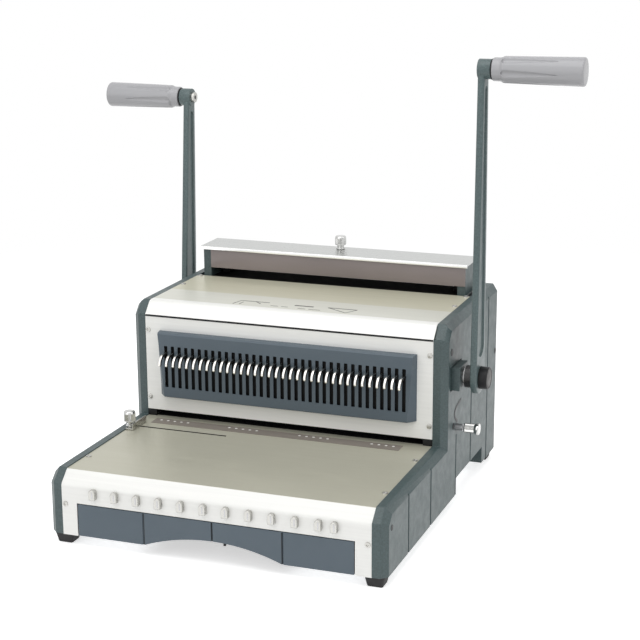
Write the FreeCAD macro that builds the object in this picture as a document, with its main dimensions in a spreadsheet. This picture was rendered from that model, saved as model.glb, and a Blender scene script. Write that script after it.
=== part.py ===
"""Desktop punch-and-bind machine: a tray with a chip drawer, a punching tower and a wire closer behind it.

Millimetres. +X is the machine's right, -Y its front, +Z up. The origin is under the middle of the machine, on
the surface that the feet stand on.
"""
import FreeCAD, Part
import Sketcher
import math
import os

doc = FreeCAD.newDocument("binding_machine")
sheet = doc.addObject("Spreadsheet::Sheet", "sizes")


class Size:
    """A length or angle: the sheet expression that gives it, and its value when the model is drawn."""

    def __init__(self, text, value):
        self.text = text
        self.value = value

    def __add__(self, other):
        return combine(self, "+", other)

    def __radd__(self, other):
        return combine(other, "+", self)

    def __sub__(self, other):
        return combine(self, "-", other)

    def __rsub__(self, other):
        return combine(other, "-", self)

    def __mul__(self, other):
        return combine(self, "*", other)

    def __rmul__(self, other):
        return combine(other, "*", self)

    def __truediv__(self, other):
        return combine(self, "/", other)

    def __neg__(self):
        return Size(f"(-{self.text})", -self.value)


def as_size(number):
    return number if isinstance(number, Size) else Size(repr(float(number)), float(number))


def combine(left, sign, right):
    left = as_size(left)
    right = as_size(right)
    results = {"+": left.value + right.value, "-": left.value - right.value, "*": left.value * right.value}
    value = left.value / right.value if sign == "/" else results[sign]
    return Size(f"({left.text} {sign} {right.text})", value)


def sine(angle):
    return Size(f"sin({angle.text})", math.sin(math.radians(angle.value)))


def cosine(angle):
    return Size(f"cos({angle.text})", math.cos(math.radians(angle.value)))


def whole(size):
    return Size(f"floor({size.text})", math.floor(size.value))


def dimension(name, value):
    """Put a driving dimension in the next row of the sheet and return it by its alias."""
    dimension.row += 1
    sheet.set(f"A{dimension.row}", name)
    sheet.set(f"B{dimension.row}", str(value))
    sheet.setAlias(f"B{dimension.row}", name)
    return Size(f"sizes.{name}", float(value))


dimension.row = 0

# Case: overall widths, heights and depths
case_width = dimension("case_width", 380)
panel_wall = dimension("panel_wall", 16)
panel_bevel = dimension("panel_bevel", 7)
panel_rim = dimension("panel_rim", 1)
panel_ledge = dimension("panel_ledge", 3.5)
foot_rise = dimension("foot_rise", 12)
sheet_wall = dimension("sheet_wall", 1.5)
slope_wall = dimension("slope_wall", 2.1)
tower_y = dimension("tower_y", -11.7)
tray_depth = dimension("tray_depth", 210)
tray_height = dimension("tray_height", 82)
fascia_fold = dimension("fascia_fold", 69)
lip_setback = dimension("lip_setback", 14)
tower_height = dimension("tower_height", 204)
tower_depth = dimension("tower_depth", 224)
plate_rise = dimension("plate_rise", 8)
plate_gap = dimension("plate_gap", 1)
cover_height = dimension("cover_height", 218.5)
cover_setback = dimension("cover_setback", 13.5)
rear_ledge = dimension("rear_ledge", 24.5)
pan_inset = dimension("pan_inset", 6)
running_gap = dimension("running_gap", 0.05)
slide_gap = dimension("slide_gap", 0.3)
overshoot = dimension("overshoot", 1)

# Side panels: lifting notch under the tower, grooves on the outer face, pocket round each lever shaft
notch_front = dimension("notch_front", 44)
notch_back = dimension("notch_back", 157)
notch_rise = dimension("notch_rise", 20)
groove_width = dimension("groove_width", 3)
groove_depth = dimension("groove_depth", 1.5)
base_groove_front = dimension("base_groove_front", 137)
base_groove_back = dimension("base_groove_back", 57)
tower_groove_front = dimension("tower_groove_front", 104)
tower_groove_back = dimension("tower_groove_back", 177)
punch_pocket_length = dimension("punch_pocket_length", 44)
closer_pocket_length = dimension("closer_pocket_length", 30)
pocket_height = dimension("pocket_height", 27)
pocket_depth = dimension("pocket_depth", 10)
shaft_room = dimension("shaft_room", 2)

# Feet
foot_radius = dimension("foot_radius", 11)
foot_inset = dimension("foot_inset", 14)

# Frame plates inside the side panels
frame_gap = dimension("frame_gap", 6)
frame_wall = dimension("frame_wall", 4)
frame_inset = dimension("frame_inset", 4)
frame_back_inset = dimension("frame_back_inset", 8)
spring_tab_drop = dimension("spring_tab_drop", 4)
spring_tab_half = dimension("spring_tab_half", 10)
spring_tab_wall = dimension("spring_tab_wall", 4)
spring_tab_length = dimension("spring_tab_length", 14)

# Punch: square pins on a pitch of one third of an inch
hole_pitch = dimension("hole_pitch", 8.4667)
pin_width = dimension("pin_width", 4)
punch_set = dimension("punch_set", 14)
die_wall = dimension("die_wall", 10)
die_front = dimension("die_front", 4)
die_length = dimension("die_length", 48)
throat_height = dimension("throat_height", 6)
guide_height = dimension("guide_height", 14)
guide_length = dimension("guide_length", 20)
pin_recess = dimension("pin_recess", 1.5)
pin_length = dimension("pin_length", 30.5)
beam_height = dimension("beam_height", 26)
beam_length = dimension("beam_length", 18)
beam_end_gap = dimension("beam_end_gap", 3)
tongue_width = dimension("tongue_width", 9)
tongue_height = dimension("tongue_height", 18)
tongue_rise = dimension("tongue_rise", 4)
stroke_margin = dimension("stroke_margin", 2)

# Levers: shafts, cranks, arms and grips
shaft_radius = dimension("shaft_radius", 7)
punch_shaft_set = dimension("punch_shaft_set", 36.5)
punch_shaft_rise = dimension("punch_shaft_rise", 10)
closer_shaft_set = dimension("closer_shaft_set", 22.5)
closer_shaft_height = dimension("closer_shaft_height", 90.6)
closer_lean = dimension("closer_lean", 3.5)
crank_start = dimension("crank_start", 37.5)
punch_throw = dimension("punch_throw", 13)
closer_throw = dimension("closer_throw", 11)
crank_wall = dimension("crank_wall", 8)
crank_hub = dimension("crank_hub", 11)
crank_end = dimension("crank_end", 6)
crank_half = dimension("crank_half", 8.5)
crank_pin_radius = dimension("crank_pin_radius", 3.5)
fork_gap = dimension("fork_gap", 0.4)
fork_wall = dimension("fork_wall", 10)
fork_prong = dimension("fork_prong", 6)
punch_fork_x = dimension("punch_fork_x", 110)
arm_gap = dimension("arm_gap", 20)
arm_wall = dimension("arm_wall", 8)
arm_length = dimension("arm_length", 339)
arm_foot_radius = dimension("arm_foot_radius", 20.5)
arm_tip_radius = dimension("arm_tip_radius", 10.7)
arm_groove_start = dimension("arm_groove_start", 28)
arm_groove_end = dimension("arm_groove_end", 42)
arm_groove_margin = dimension("arm_groove_margin", 5)
arm_groove_depth = dimension("arm_groove_depth", 1.8)
boss_inward = dimension("boss_inward", 1)
boss_outward = dimension("boss_outward", 6)
collar_length = dimension("collar_length", 8.4)
collar_radius = dimension("collar_radius", 12.5)
cap_length = dimension("cap_length", 5.7)
grip_gap = dimension("grip_gap", 1.5)
axle_radius = dimension("axle_radius", 4)
axle_head_radius = dimension("axle_head_radius", 6)
axle_head_length = dimension("axle_head_length", 4)
axle_length = dimension("axle_length", 90)
grip_length = dimension("grip_length", 102.5)
grip_neck_radius = dimension("grip_neck_radius", 14)
grip_neck_length = dimension("grip_neck_length", 11)
grip_radius = dimension("grip_radius", 17.3)
grip_round = dimension("grip_round", 3)
flute_width = dimension("flute_width", 8)
flute_length = dimension("flute_length", 68)
flute_depth = dimension("flute_depth", 1.4)
flute_count = dimension("flute_count", 6)
flute_inset = dimension("flute_inset", 2)
flute_tip = dimension("flute_tip", 1)

# Slotted panel and hook comb on the tower front
slat_inset = dimension("slat_inset", 18)
slat_end = dimension("slat_end", 10)
slat_foot = dimension("slat_foot", 109.5)
slat_height = dimension("slat_height", 77)
slat_proud_foot = dimension("slat_proud_foot", 7)
slat_proud_brow = dimension("slat_proud_brow", 12)
slat_bevel = dimension("slat_bevel", 4)
slat_brow_drop = dimension("slat_brow_drop", 5.6)
slat_facet = dimension("slat_facet", 7.5)
slat_wall = dimension("slat_wall", 3)
slot_width = dimension("slot_width", 4)
slot_corner = dimension("slot_corner", 1)
slot_rise = dimension("slot_rise", 12.5)
slot_height = dimension("slot_height", 49.5)
hook_wall = dimension("hook_wall", 3)
hook_rise = dimension("hook_rise", 35)
hook_radius = dimension("hook_radius", 11)
hook_thickness = dimension("hook_thickness", 3.6)
hook_bend_set = dimension("hook_bend_set", 14)
hook_turn = dimension("hook_turn", 90)
comb_height = dimension("comb_height", 14)
comb_wall = dimension("comb_wall", 3)
plate_margin = dimension("plate_margin", 6)
HOOK_FOLDS = 3

# Wire closer behind the cover: its heights are above the cover
closer_inset = dimension("closer_inset", 4)
closer_depth = dimension("closer_depth", 49.5)
closer_height = dimension("closer_height", 37)
closer_plate_wall = dimension("closer_plate_wall", 2)
closer_lip = dimension("closer_lip", 4)
post_wall = dimension("post_wall", 10)
post_overhang = dimension("post_overhang", 2.5)
post_inset = dimension("post_inset", 3)
window_wall = dimension("window_wall", 2.5)
window_inset = dimension("window_inset", 4.5)
window_rise = dimension("window_rise", 10.5)
anvil_wall = dimension("anvil_wall", 5)
jaw_rest = dimension("jaw_rest", 17.5)
jaw_height = dimension("jaw_height", 11)
jaw_front = dimension("jaw_front", 10)
jaw_back = dimension("jaw_back", 3.5)
jaw_gap = dimension("jaw_gap", 0.5)
pusher_inset = dimension("pusher_inset", 7.5)
pusher_gap = dimension("pusher_gap", 1)
pusher_wall = dimension("pusher_wall", 8)
pusher_length = dimension("pusher_length", 13)
knob_set = dimension("knob_set", 38)
knob_radius = dimension("knob_radius", 6.8)
knob_height = dimension("knob_height", 16.5)
knob_neck_radius = dimension("knob_neck_radius", 4.4)
knob_neck_height = dimension("knob_neck_height", 5.5)
knob_screw_radius = dimension("knob_screw_radius", 3)

# Punching depth: shaft with eccentrics, knob on the right, paper stop in the throat
margin_set = dimension("margin_set", 40)
margin_rise = dimension("margin_rise", 12.5)
margin_radius = dimension("margin_radius", 4)
margin_throw = dimension("margin_throw", 3)
eccentric_radius = dimension("eccentric_radius", 7.2)
eccentric_wall = dimension("eccentric_wall", 8)
eccentric_inset = dimension("eccentric_inset", 7)
stop_inset = dimension("stop_inset", 14)
stop_set = dimension("stop_set", 19)
stop_wall = dimension("stop_wall", 3)
stop_prong = dimension("stop_prong", 3)
stop_prong_rise = dimension("stop_prong_rise", 22)
margin_knob_out = dimension("margin_knob_out", 8)
margin_knob_length = dimension("margin_knob_length", 20)
margin_knob_radius = dimension("margin_knob_radius", 6.4)

# Chip drawer
drawer_inset = dimension("drawer_inset", 18.5)
drawer_gap = dimension("drawer_gap", 1)
drawer_top = dimension("drawer_top", 48)
drawer_rim_drop = dimension("drawer_rim_drop", 2)
drawer_front_wall = dimension("drawer_front_wall", 4)
drawer_reach = dimension("drawer_reach", 30)
drawer_recess = dimension("drawer_recess", 22)
drawer_wall = dimension("drawer_wall", 1.5)
drawer_side_gap = dimension("drawer_side_gap", 3.5)
arch_half_width = dimension("arch_half_width", 77.75)
arch_rise = dimension("arch_rise", 14.5)
front_groove_width = dimension("front_groove_width", 1.6)
front_groove_depth = dimension("front_groove_depth", 1)
runner_height = dimension("runner_height", 7)

# Selector pulls
selector_inset = dimension("selector_inset", 6)
selector_end = dimension("selector_end", 38.533)
selector_bar_width = dimension("selector_bar_width", 4)
selector_bar_height = dimension("selector_bar_height", 5)
selector_bar_end = dimension("selector_bar_end", 18)
selector_hole_gap = dimension("selector_hole_gap", 0.5)
selector_width = dimension("selector_width", 7)
selector_drop = dimension("selector_drop", 6.5)
selector_rise = dimension("selector_rise", 5)
selector_bevel = dimension("selector_bevel", 2)
selector_proud = dimension("selector_proud", 6.5)
rail_inset = dimension("rail_inset", 24)
rail_wall = dimension("rail_wall", 7)
rail_height = dimension("rail_height", 10)

# Tray fittings
guide_slot_inset = dimension("guide_slot_inset", 4)
guide_slot_length = dimension("guide_slot_length", 114)
guide_slot_width = dimension("guide_slot_width", 3)
guide_slot_set = dimension("guide_slot_set", 42)
bracket_width = dimension("bracket_width", 10)
bracket_front = dimension("bracket_front", 60)
bracket_length = dimension("bracket_length", 34)
bracket_wall = dimension("bracket_wall", 2)
fence_height = dimension("fence_height", 8)
tongue_drop = dimension("tongue_drop", 4)
tongue_gap = dimension("tongue_gap", 0.4)
tongue_length = dimension("tongue_length", 4)
thumb_radius = dimension("thumb_radius", 7)
thumb_neck_radius = dimension("thumb_neck_radius", 3)
thumb_neck_height = dimension("thumb_neck_height", 6.5)
thumb_height = dimension("thumb_height", 13)
thumb_inset = dimension("thumb_inset", 5.5)
ruler_left_inset = dimension("ruler_left_inset", 16)
ruler_right_inset = dimension("ruler_right_inset", 31)
ruler_set = dimension("ruler_set", 26)
ruler_width = dimension("ruler_width", 17)
ruler_wall = dimension("ruler_wall", 0.5)

# Return springs
spring_radius = dimension("spring_radius", 5)
spring_inset = dimension("spring_inset", 7)

# Places worked out from the driving dimensions
outer = case_width / 2
inner = outer - panel_wall
front = tower_y - tray_depth
back = tower_y + tower_depth
pan_top = foot_rise + sheet_wall
tray_under = tray_height - sheet_wall
cover_under = cover_height - sheet_wall
frame_out = inner - frame_gap
frame_in = frame_out - frame_wall
punch_y = tower_y + punch_set
die_y = tower_y + die_front
guide_z = tray_height + throat_height
pin_tip = guide_z + pin_recess
beam_z = pin_tip + pin_length
beam_top = beam_z + beam_height
beam_half = frame_in - beam_end_gap
spring_tab_z = tower_height - spring_tab_drop
punch_shaft_y = tower_y + punch_shaft_set
punch_shaft_z = beam_top + punch_shaft_rise
closer_shaft_y = back - closer_shaft_set
arm_x = outer + arm_gap
slat_half_width = inner - slat_inset
slat_top = slat_foot + slat_height
slot_foot = slat_foot + slot_rise
hook_height = slot_foot + hook_rise
hook_count = whole(2 * (slat_half_width - slat_end) / hole_pitch) + 1
pin_count = hook_count - 1
closer_half_width = inner - closer_inset
closer_back_y = back - rear_ledge
closer_y = closer_back_y - closer_depth
closer_top = cover_height + closer_height
jaw_z = cover_height + jaw_rest
post_out = closer_half_width - post_overhang
post_in = post_out - post_wall
pusher_x = post_in - pusher_inset
knob_screw_length = closer_height - closer_plate_wall - jaw_gap - jaw_height - jaw_rest
margin_y = tower_y + margin_set
margin_z = tray_height + margin_rise
stop_half_width = frame_in - stop_inset
eccentric_x = stop_half_width - eccentric_inset
drawer_half_width = inner - drawer_inset
selector_z = fascia_fold - selector_inset
selector_span = inner - selector_end


# Building blocks


def bind(item, prop, size):
    item.setExpression(prop, as_size(size).text)


def block(name, x, y, z):
    """Box between a low and a high place on each axis."""
    box = doc.addObject("Part::Box", name)
    for axis, side, (low, high) in zip("xyz", ("Length", "Width", "Height"), (x, y, z)):
        bind(box, side, high - low)
        bind(box, f"Placement.Base.{axis}", low)
    return box


AXIS_TURNS = {
    "x": FreeCAD.Rotation(FreeCAD.Vector(0, 1, 0), 90),
    "y": FreeCAD.Rotation(FreeCAD.Vector(1, 0, 0), -90),
    "z": FreeCAD.Rotation(),
    "-x": FreeCAD.Rotation(FreeCAD.Vector(0, 1, 0), -90),
}


def stand(item, axis, at, start):
    """Lay a round primitive along an axis: at gives its other two coordinates, start the end it grows from."""
    item.Placement = FreeCAD.Placement(FreeCAD.Vector(), AXIS_TURNS[axis])
    along = axis[-1]
    bind(item, f"Placement.Base.{along}", start)
    for other, place in zip("xyz".replace(along, ""), at):
        bind(item, f"Placement.Base.{other}", place)


def rod(name, axis, radius, at, span):
    cylinder = doc.addObject("Part::Cylinder", name)
    bind(cylinder, "Radius", radius)
    bind(cylinder, "Height", span[1] - span[0])
    stand(cylinder, axis, at, span[0])
    return cylinder


def fuse(name, *pieces):
    joined = doc.addObject("Part::MultiFuse", name)
    joined.Shapes = list(pieces)
    return joined


def group(name, *pieces):
    """Several separate solids in one node."""
    together = doc.addObject("Part::Compound", name)
    together.Links = list(pieces)
    return together


def cut(name, base, *tools):
    result = doc.addObject("Part::Cut", name)
    result.Base = base
    result.Tool = tools[0] if len(tools) == 1 else group(f"{name}_tools", *tools)
    return result


def mirrored_span(side, low, high):
    """The span from low to high on the right side, or its mirror image on the left."""
    return (low, high) if side > 0 else (-high, -low)


def draw(body, name, plane, outline, offset):
    """Closed sketch whose corners are bound to the sheet, at an offset along the plane's normal."""
    support = next(item for item in body.Origin.OriginFeatures if item.Role == plane)
    sketch = body.newObject("Sketcher::SketchObject", name)
    sketch.AttachmentSupport = (support, [""])
    sketch.MapMode = "FlatFace"
    bind(sketch, ".AttachmentOffset.Base.z", offset)
    corners = [(as_size(u), as_size(v)) for u, v in outline]
    points = [FreeCAD.Vector(u.value, v.value, 0) for u, v in corners]
    count = len(points)
    for index in range(count):
        sketch.addGeometry(Part.LineSegment(points[index], points[(index + 1) % count]), False)
    for index in range(count):
        sketch.addConstraint(Sketcher.Constraint("Coincident", index, 2, (index + 1) % count, 1))
    for index, corner in enumerate(corners):
        for kind, place in zip(("DistanceX", "DistanceY"), corner):
            number = sketch.addConstraint(Sketcher.Constraint(kind, -1, 1, index, 1, place.value))
            bind(sketch, f"Constraints[{number}]", place)
    return sketch


def along_normal(plane, span):
    """Offset and length of a span along a plane's normal, which points to -Y for the XZ plane."""
    low, high = as_size(span[0]), as_size(span[1])
    return (-high if plane == "XZ_Plane" else low), high - low


def new_body(name):
    return doc.addObject("PartDesign::Body", name)


def pad(body, name, plane, outline, span):
    offset, length = along_normal(plane, span)
    feature = body.newObject("PartDesign::Pad", f"{name}_pad")
    feature.Profile = draw(body, f"{name}_outline", plane, outline, offset)
    bind(feature, "Length", length)
    return feature


def pocket(body, name, plane, outline, span):
    offset, length = along_normal(plane, span)
    feature = body.newObject("PartDesign::Pocket", f"{name}_pocket")
    feature.Profile = draw(body, f"{name}_outline", plane, outline, offset)
    feature.Reversed = True
    bind(feature, "Length", length)
    return feature


def prism(name, plane, outline, span):
    body = new_body(name)
    pad(body, name, plane, outline, span)
    return body


def row_along_x(body, feature, count, pitch):
    """Repeat a feature along +X."""
    doc.recompute()
    pattern = body.newObject("PartDesign::LinearPattern", f"{feature.Name}_row")
    pattern.Originals = [feature]
    x_axis = next(item for item in body.Origin.OriginFeatures if item.Role == "X_Axis")
    pattern.Direction = (x_axis, [""])
    bind(pattern, "Length", (count - 1) * pitch)
    bind(pattern, "Occurrences", count)
    body.Tip = pattern
    return pattern


def ring_about_x(body, feature, count):
    """Repeat a feature around the body's X axis."""
    doc.recompute()
    pattern = body.newObject("PartDesign::PolarPattern", f"{feature.Name}_ring")
    pattern.Originals = [feature]
    x_axis = next(item for item in body.Origin.OriginFeatures if item.Role == "X_Axis")
    pattern.Axis = (x_axis, [""])
    pattern.Angle = 360
    bind(pattern, "Occurrences", count)
    body.Tip = pattern
    return pattern


def turned(name, axis, outline):
    """Revolved piece about its own X or Z axis: the outline gives distance along and off the axis."""
    body = new_body(name)
    sketch = draw(body, f"{name}_outline", "XZ_Plane", outline, 0)
    feature = body.newObject("PartDesign::Revolution", f"{name}_turn")
    feature.Profile = sketch
    feature.ReferenceAxis = (sketch, ["H_Axis" if axis == "x" else "V_Axis"])
    feature.Angle = 360
    return body


def rectangle(u, v):
    return [(u[0], v[0]), (u[1], v[0]), (u[1], v[1]), (u[0], v[1])]


nodes = {}


def node(name, item):
    item.Label = name
    nodes[name] = item


# Base and case


def make_base_pan():
    floor = block("pan_floor", (-inner, inner), (front + pan_inset, back - sheet_wall),
                  (foot_rise, pan_top))
    runner_in = drawer_half_width - drawer_side_gap + 2 * slide_gap
    runners = []
    for side in (-1, 1):
        span = mirrored_span(side, runner_in, runner_in + sheet_wall)
        runners.append(block(f"pan_runner_{len(runners)}", span, (front + drawer_recess, tower_y),
                             (pan_top, pan_top + runner_height)))
    node("base_pan", fuse("pan_joined", floor, *runners))


def make_feet():
    feet = []
    for side in (-1, 1):
        for place in (front + foot_inset, back - foot_inset):
            feet.append(rod(f"foot_{len(feet)}", "z", foot_radius, (side * (inner + sheet_wall), place),
                            (as_size(0), foot_rise)))
    node("feet", group("feet_group", *feet))


def outer_rim(body, tip, side):
    """Bevel the front, top and back edges of a side panel's outer face."""
    doc.recompute()
    notch_top = (foot_rise + notch_rise).value
    names = []
    for number, edge in enumerate(tip.Shape.Edges, 1):
        ends = [vertex.Point for vertex in edge.Vertexes]
        on_face = all(abs(point.x - side * outer.value) < 0.01 for point in ends)
        if on_face and max(point.z for point in ends) > notch_top + 0.01:
            names.append(f"Edge{number}")
    bevel = body.newObject("PartDesign::Chamfer", f"{body.Name}_bevel")
    bevel.Base = (tip, names)
    bind(bevel, "Size", panel_bevel)
    return bevel


def make_side_panel(name, side, shaft_y, shaft_z, pocket_length):
    rim = tray_height + panel_rim
    notch_top = foot_rise + notch_rise
    notch_y = (tower_y + notch_front, tower_y + notch_back)
    outline = [
        (front, foot_rise), (notch_y[0], foot_rise), (notch_y[0], notch_top), (notch_y[1], notch_top),
        (notch_y[1], foot_rise), (back, foot_rise), (back, cover_height), (tower_y + cover_setback, cover_height),
        (tower_y, tower_height), (tower_y, rim), (front + lip_setback, rim), (front, fascia_fold + panel_rim),
    ]
    body = new_body(f"{name}_body")
    tip = pad(body, name, "YZ_Plane", outline, mirrored_span(side, inner, outer))
    outer_rim(body, tip, side)
    face = mirrored_span(side, outer - groove_depth, outer + groove_depth)
    grooves = (
        (tower_y - base_groove_front, foot_rise, tray_height), (tower_y - base_groove_back, foot_rise, tray_height),
        (notch_y[0] - groove_width, foot_rise, tray_height), (tower_y + tower_groove_front, notch_top, cover_height),
        (tower_y + tower_groove_back, foot_rise, cover_height),
    )
    for number, (place, low, high) in enumerate(grooves):
        half = groove_width / 2
        pocket(body, f"{name}_groove_{number}", "YZ_Plane",
               rectangle((place - half, place + half), (low - groove_width, high + groove_width)), face)
    ledge_y = tower_y + panel_ledge
    ledge = [
        (tower_y - overshoot, tower_height), (ledge_y, tower_height), (ledge_y + cover_setback, cover_height),
        (ledge_y + cover_setback, cover_height + overshoot), (tower_y - overshoot, cover_height + overshoot),
    ]
    pocket(body, f"{name}_ledge", "YZ_Plane", ledge, mirrored_span(side, inner - overshoot, outer + overshoot))
    hub = rectangle((shaft_y - pocket_length / 2, shaft_y + pocket_length / 2),
                    (shaft_z - pocket_height / 2, shaft_z + pocket_height / 2))
    pocket(body, f"{name}_hub", "YZ_Plane", hub, mirrored_span(side, outer - pocket_depth, outer + overshoot))
    bore = rod(f"{name}_bore", "x", shaft_radius + shaft_room, (shaft_y, shaft_z),
               mirrored_span(side, inner - overshoot, outer))
    return body, bore


def make_side_panels():
    left = make_side_panel("left_panel", -1, closer_shaft_y, closer_shaft_height, closer_pocket_length)
    node("left_side_panel", cut("left_panel_bored", *left))
    right = make_side_panel("right_panel", 1, punch_shaft_y, punch_shaft_z, punch_pocket_length)
    bore = rod("margin_bore", "x", margin_radius + slide_gap, (margin_y, margin_z), (inner - overshoot, outer))
    node("right_side_panel", cut("right_panel_bored", *right, bore))


def selector_place(number):
    """Pulls stand on every third hole of the half row; the last one is two holes on."""
    steps = min(3 * number - HALF_ROW_HOLES, HALF_ROW_HOLES)
    return steps * selector_span / HALF_ROW_HOLES


SELECTOR_COUNT = 12
HALF_ROW_HOLES = 16


def selector_bar(name, number, gap, y):
    """Flat bar of one pull between two places along Y, or the hole for it where a gap is given."""
    middle = selector_place(number)
    half_x = selector_bar_width / 2 + gap
    half_z = selector_bar_height / 2 + gap
    return block(name, (middle - half_x, middle + half_x), y, (selector_z - half_z, selector_z + half_z))


def make_fascia():
    lip = front + lip_setback
    outline = [
        (front, foot_rise), (front, fascia_fold), (lip, tray_height), (lip, tray_height - slope_wall),
        (front + sheet_wall, fascia_fold - sheet_wall / 2), (front + sheet_wall, foot_rise),
    ]
    sheet_body = prism("fascia_sheet", "YZ_Plane", outline, (-inner, inner))
    across = drawer_half_width + drawer_gap
    opening = block("fascia_opening", (-across, across), (front - sheet_wall, front + 2 * sheet_wall),
                    (foot_rise - sheet_wall, drawer_top + drawer_gap))
    holes = [selector_bar(f"fascia_hole_{number}", number, selector_hole_gap,
                          (front - sheet_wall, front + 2 * sheet_wall)) for number in range(SELECTOR_COUNT)]
    node("front_fascia", cut("fascia_cut", sheet_body, opening, *holes))


def make_tray():
    plate = block("tray_plate", (-inner, inner), (front + lip_setback, die_y), (tray_under, tray_height))
    half = guide_slot_width / 2
    slot_y = tower_y - guide_slot_set
    slot_left = guide_slot_inset - inner
    slot = block("tray_slot", (slot_left, slot_left + guide_slot_length),
                 (slot_y - half, slot_y + half), (tray_under - sheet_wall, tray_height + sheet_wall))
    node("tray", cut("tray_cut", plate, slot))
    ruler_front = tower_y - ruler_set
    node("ruler_strip", block("ruler", (ruler_left_inset - inner, inner - ruler_right_inset),
                              (ruler_front, ruler_front + ruler_width), (tray_height, tray_height + ruler_wall)))


def make_rear_cover():
    ledge = closer_back_y + sheet_wall
    outline = [
        (back - sheet_wall, foot_rise), (back, foot_rise), (back, cover_height), (ledge, cover_height),
        (ledge, cover_under), (back - sheet_wall, cover_under),
    ]
    node("rear_cover", prism("rear_cover_sheet", "YZ_Plane", outline, (-inner, inner)))


def make_top_cover():
    bend = tower_y + cover_setback
    outline = [
        (tower_y, tower_height), (bend, cover_height), (closer_y, cover_height), (closer_y, cover_under),
        (bend + sheet_wall / 2, cover_under), (tower_y + sheet_wall, tower_height - sheet_wall / 2),
    ]
    node("top_cover", prism("top_cover_sheet", "YZ_Plane", outline, (-inner, inner)))


def frame_plate(name, side, spring_y):
    across = mirrored_span(side, frame_in, frame_out)
    low_y, high_y = tower_y + frame_inset, back - frame_back_inset
    outline = [
        (low_y, pan_top), (high_y, pan_top), (high_y, cover_under), (low_y + cover_setback, cover_under),
        (low_y, tower_height - sheet_wall / 2),
    ]
    body = new_body(f"{name}_body")
    pad(body, name, "YZ_Plane", outline, across)
    reach = mirrored_span(side, frame_in - spring_tab_length, frame_in)
    pad(body, f"{name}_tab", "YZ_Plane",
        rectangle((spring_y - spring_tab_half, spring_y + spring_tab_half),
                  (spring_tab_z, spring_tab_z + spring_tab_wall)), reach)
    half = tongue_width / 2 + slide_gap
    tongue_foot = beam_z + tongue_rise
    stroke = 2 * punch_throw * sine(crank_start)
    pocket(body, f"{name}_slot", "YZ_Plane",
           rectangle((punch_y - half, punch_y + half),
                     (tongue_foot - stroke - stroke_margin, tongue_foot + tongue_height + slide_gap)),
           (across[0] - frame_wall, across[1] + frame_wall))
    span = (across[0] - frame_wall, across[1] + frame_wall)
    bores = (
        rod(f"{name}_bore_0", "x", shaft_radius + running_gap, (punch_shaft_y, punch_shaft_z), span),
        rod(f"{name}_bore_1", "x", shaft_radius + running_gap, (closer_shaft_y, closer_shaft_height), span),
        rod(f"{name}_bore_2", "x", margin_radius + running_gap, (margin_y, margin_z), span),
    )
    node(name, cut(f"{name}_bored", body, *bores))


def make_frame():
    frame_plate("left_frame_plate", -1, punch_y)
    frame_plate("right_frame_plate", 1, punch_y)


# Punch unit


def pin_holes(body, name, span):
    """Row of square holes for the punch pins, through a plate that is already padded."""
    half = pin_width / 2 + slide_gap
    first = -(pin_count - 1) * hole_pitch / 2
    hole = pocket(body, name, "XY_Plane", rectangle((first - half, first + half), (punch_y - half, punch_y + half)),
                  span)
    row_along_x(body, hole, pin_count, hole_pitch)


def make_die():
    die = new_body("die_body")
    pad(die, "die", "XY_Plane", rectangle((-frame_in, frame_in), (die_y, die_y + die_length)),
        (tray_height - die_wall, tray_height))
    pin_holes(die, "die_hole", (tray_height - die_wall - overshoot, tray_height + overshoot))
    node("die_plate", die)
    guide = new_body("guide_body")
    pad(guide, "guide", "XY_Plane", rectangle((-frame_in, frame_in), (die_y, die_y + guide_length)),
        (guide_z, guide_z + guide_height))
    pin_holes(guide, "guide_hole", (guide_z - overshoot, guide_z + guide_height + overshoot))
    node("guide_block", guide)


def make_pins():
    half = pin_width / 2
    first = -(pin_count - 1) * hole_pitch / 2
    pins = []
    for number in range(int(pin_count.value)):
        middle = first + number * hole_pitch
        pins.append(block(f"pin_{number}", (middle - half, middle + half), (punch_y - half, punch_y + half),
                          (pin_tip, beam_z)))
    node("punch_pins", group("pin_group", *pins))


def fork_slot(name, across, back_y, shaft_y, throw, pin_z):
    """Slot, open to the back, that a crank pin works in: as deep as the pin goes when its crank lies flat."""
    half = crank_pin_radius + fork_gap
    return block(name, (across[0] - overshoot, across[1] + overshoot),
                 (shaft_y - throw - half, back_y + overshoot), (pin_z - half, pin_z + half))


def make_beam():
    beam_y = (punch_y - beam_length / 2, punch_y + beam_length / 2)
    bar = block("beam_bar", (-beam_half, beam_half), beam_y, (beam_z, beam_top))
    pin_z = punch_shaft_z + punch_throw * sine(crank_start)
    fork_top = pin_z + crank_pin_radius + fork_gap + fork_prong
    fork_back = punch_shaft_y - shaft_radius - 2 * fork_gap
    pieces = [bar]
    tongue_z = beam_z + tongue_rise
    for side in (-1, 1):
        across = mirrored_span(side, punch_fork_x - fork_wall / 2, punch_fork_x + fork_wall / 2)
        plate = block(f"beam_fork_plate_{len(pieces)}", across, (beam_y[0], fork_back), (beam_top, fork_top))
        slot = fork_slot(f"beam_fork_slot_{len(pieces)}", across, fork_back, punch_shaft_y, punch_throw, pin_z)
        pieces.append(cut(f"beam_fork_{len(pieces)}", plate, slot))
        pieces.append(block(f"beam_tongue_{len(pieces)}", mirrored_span(side, beam_half, frame_out),
                            (punch_y - tongue_width / 2, punch_y + tongue_width / 2),
                            (tongue_z, tongue_z + tongue_height)))
    node("punch_beam", fuse("beam_joined", *pieces))


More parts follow.
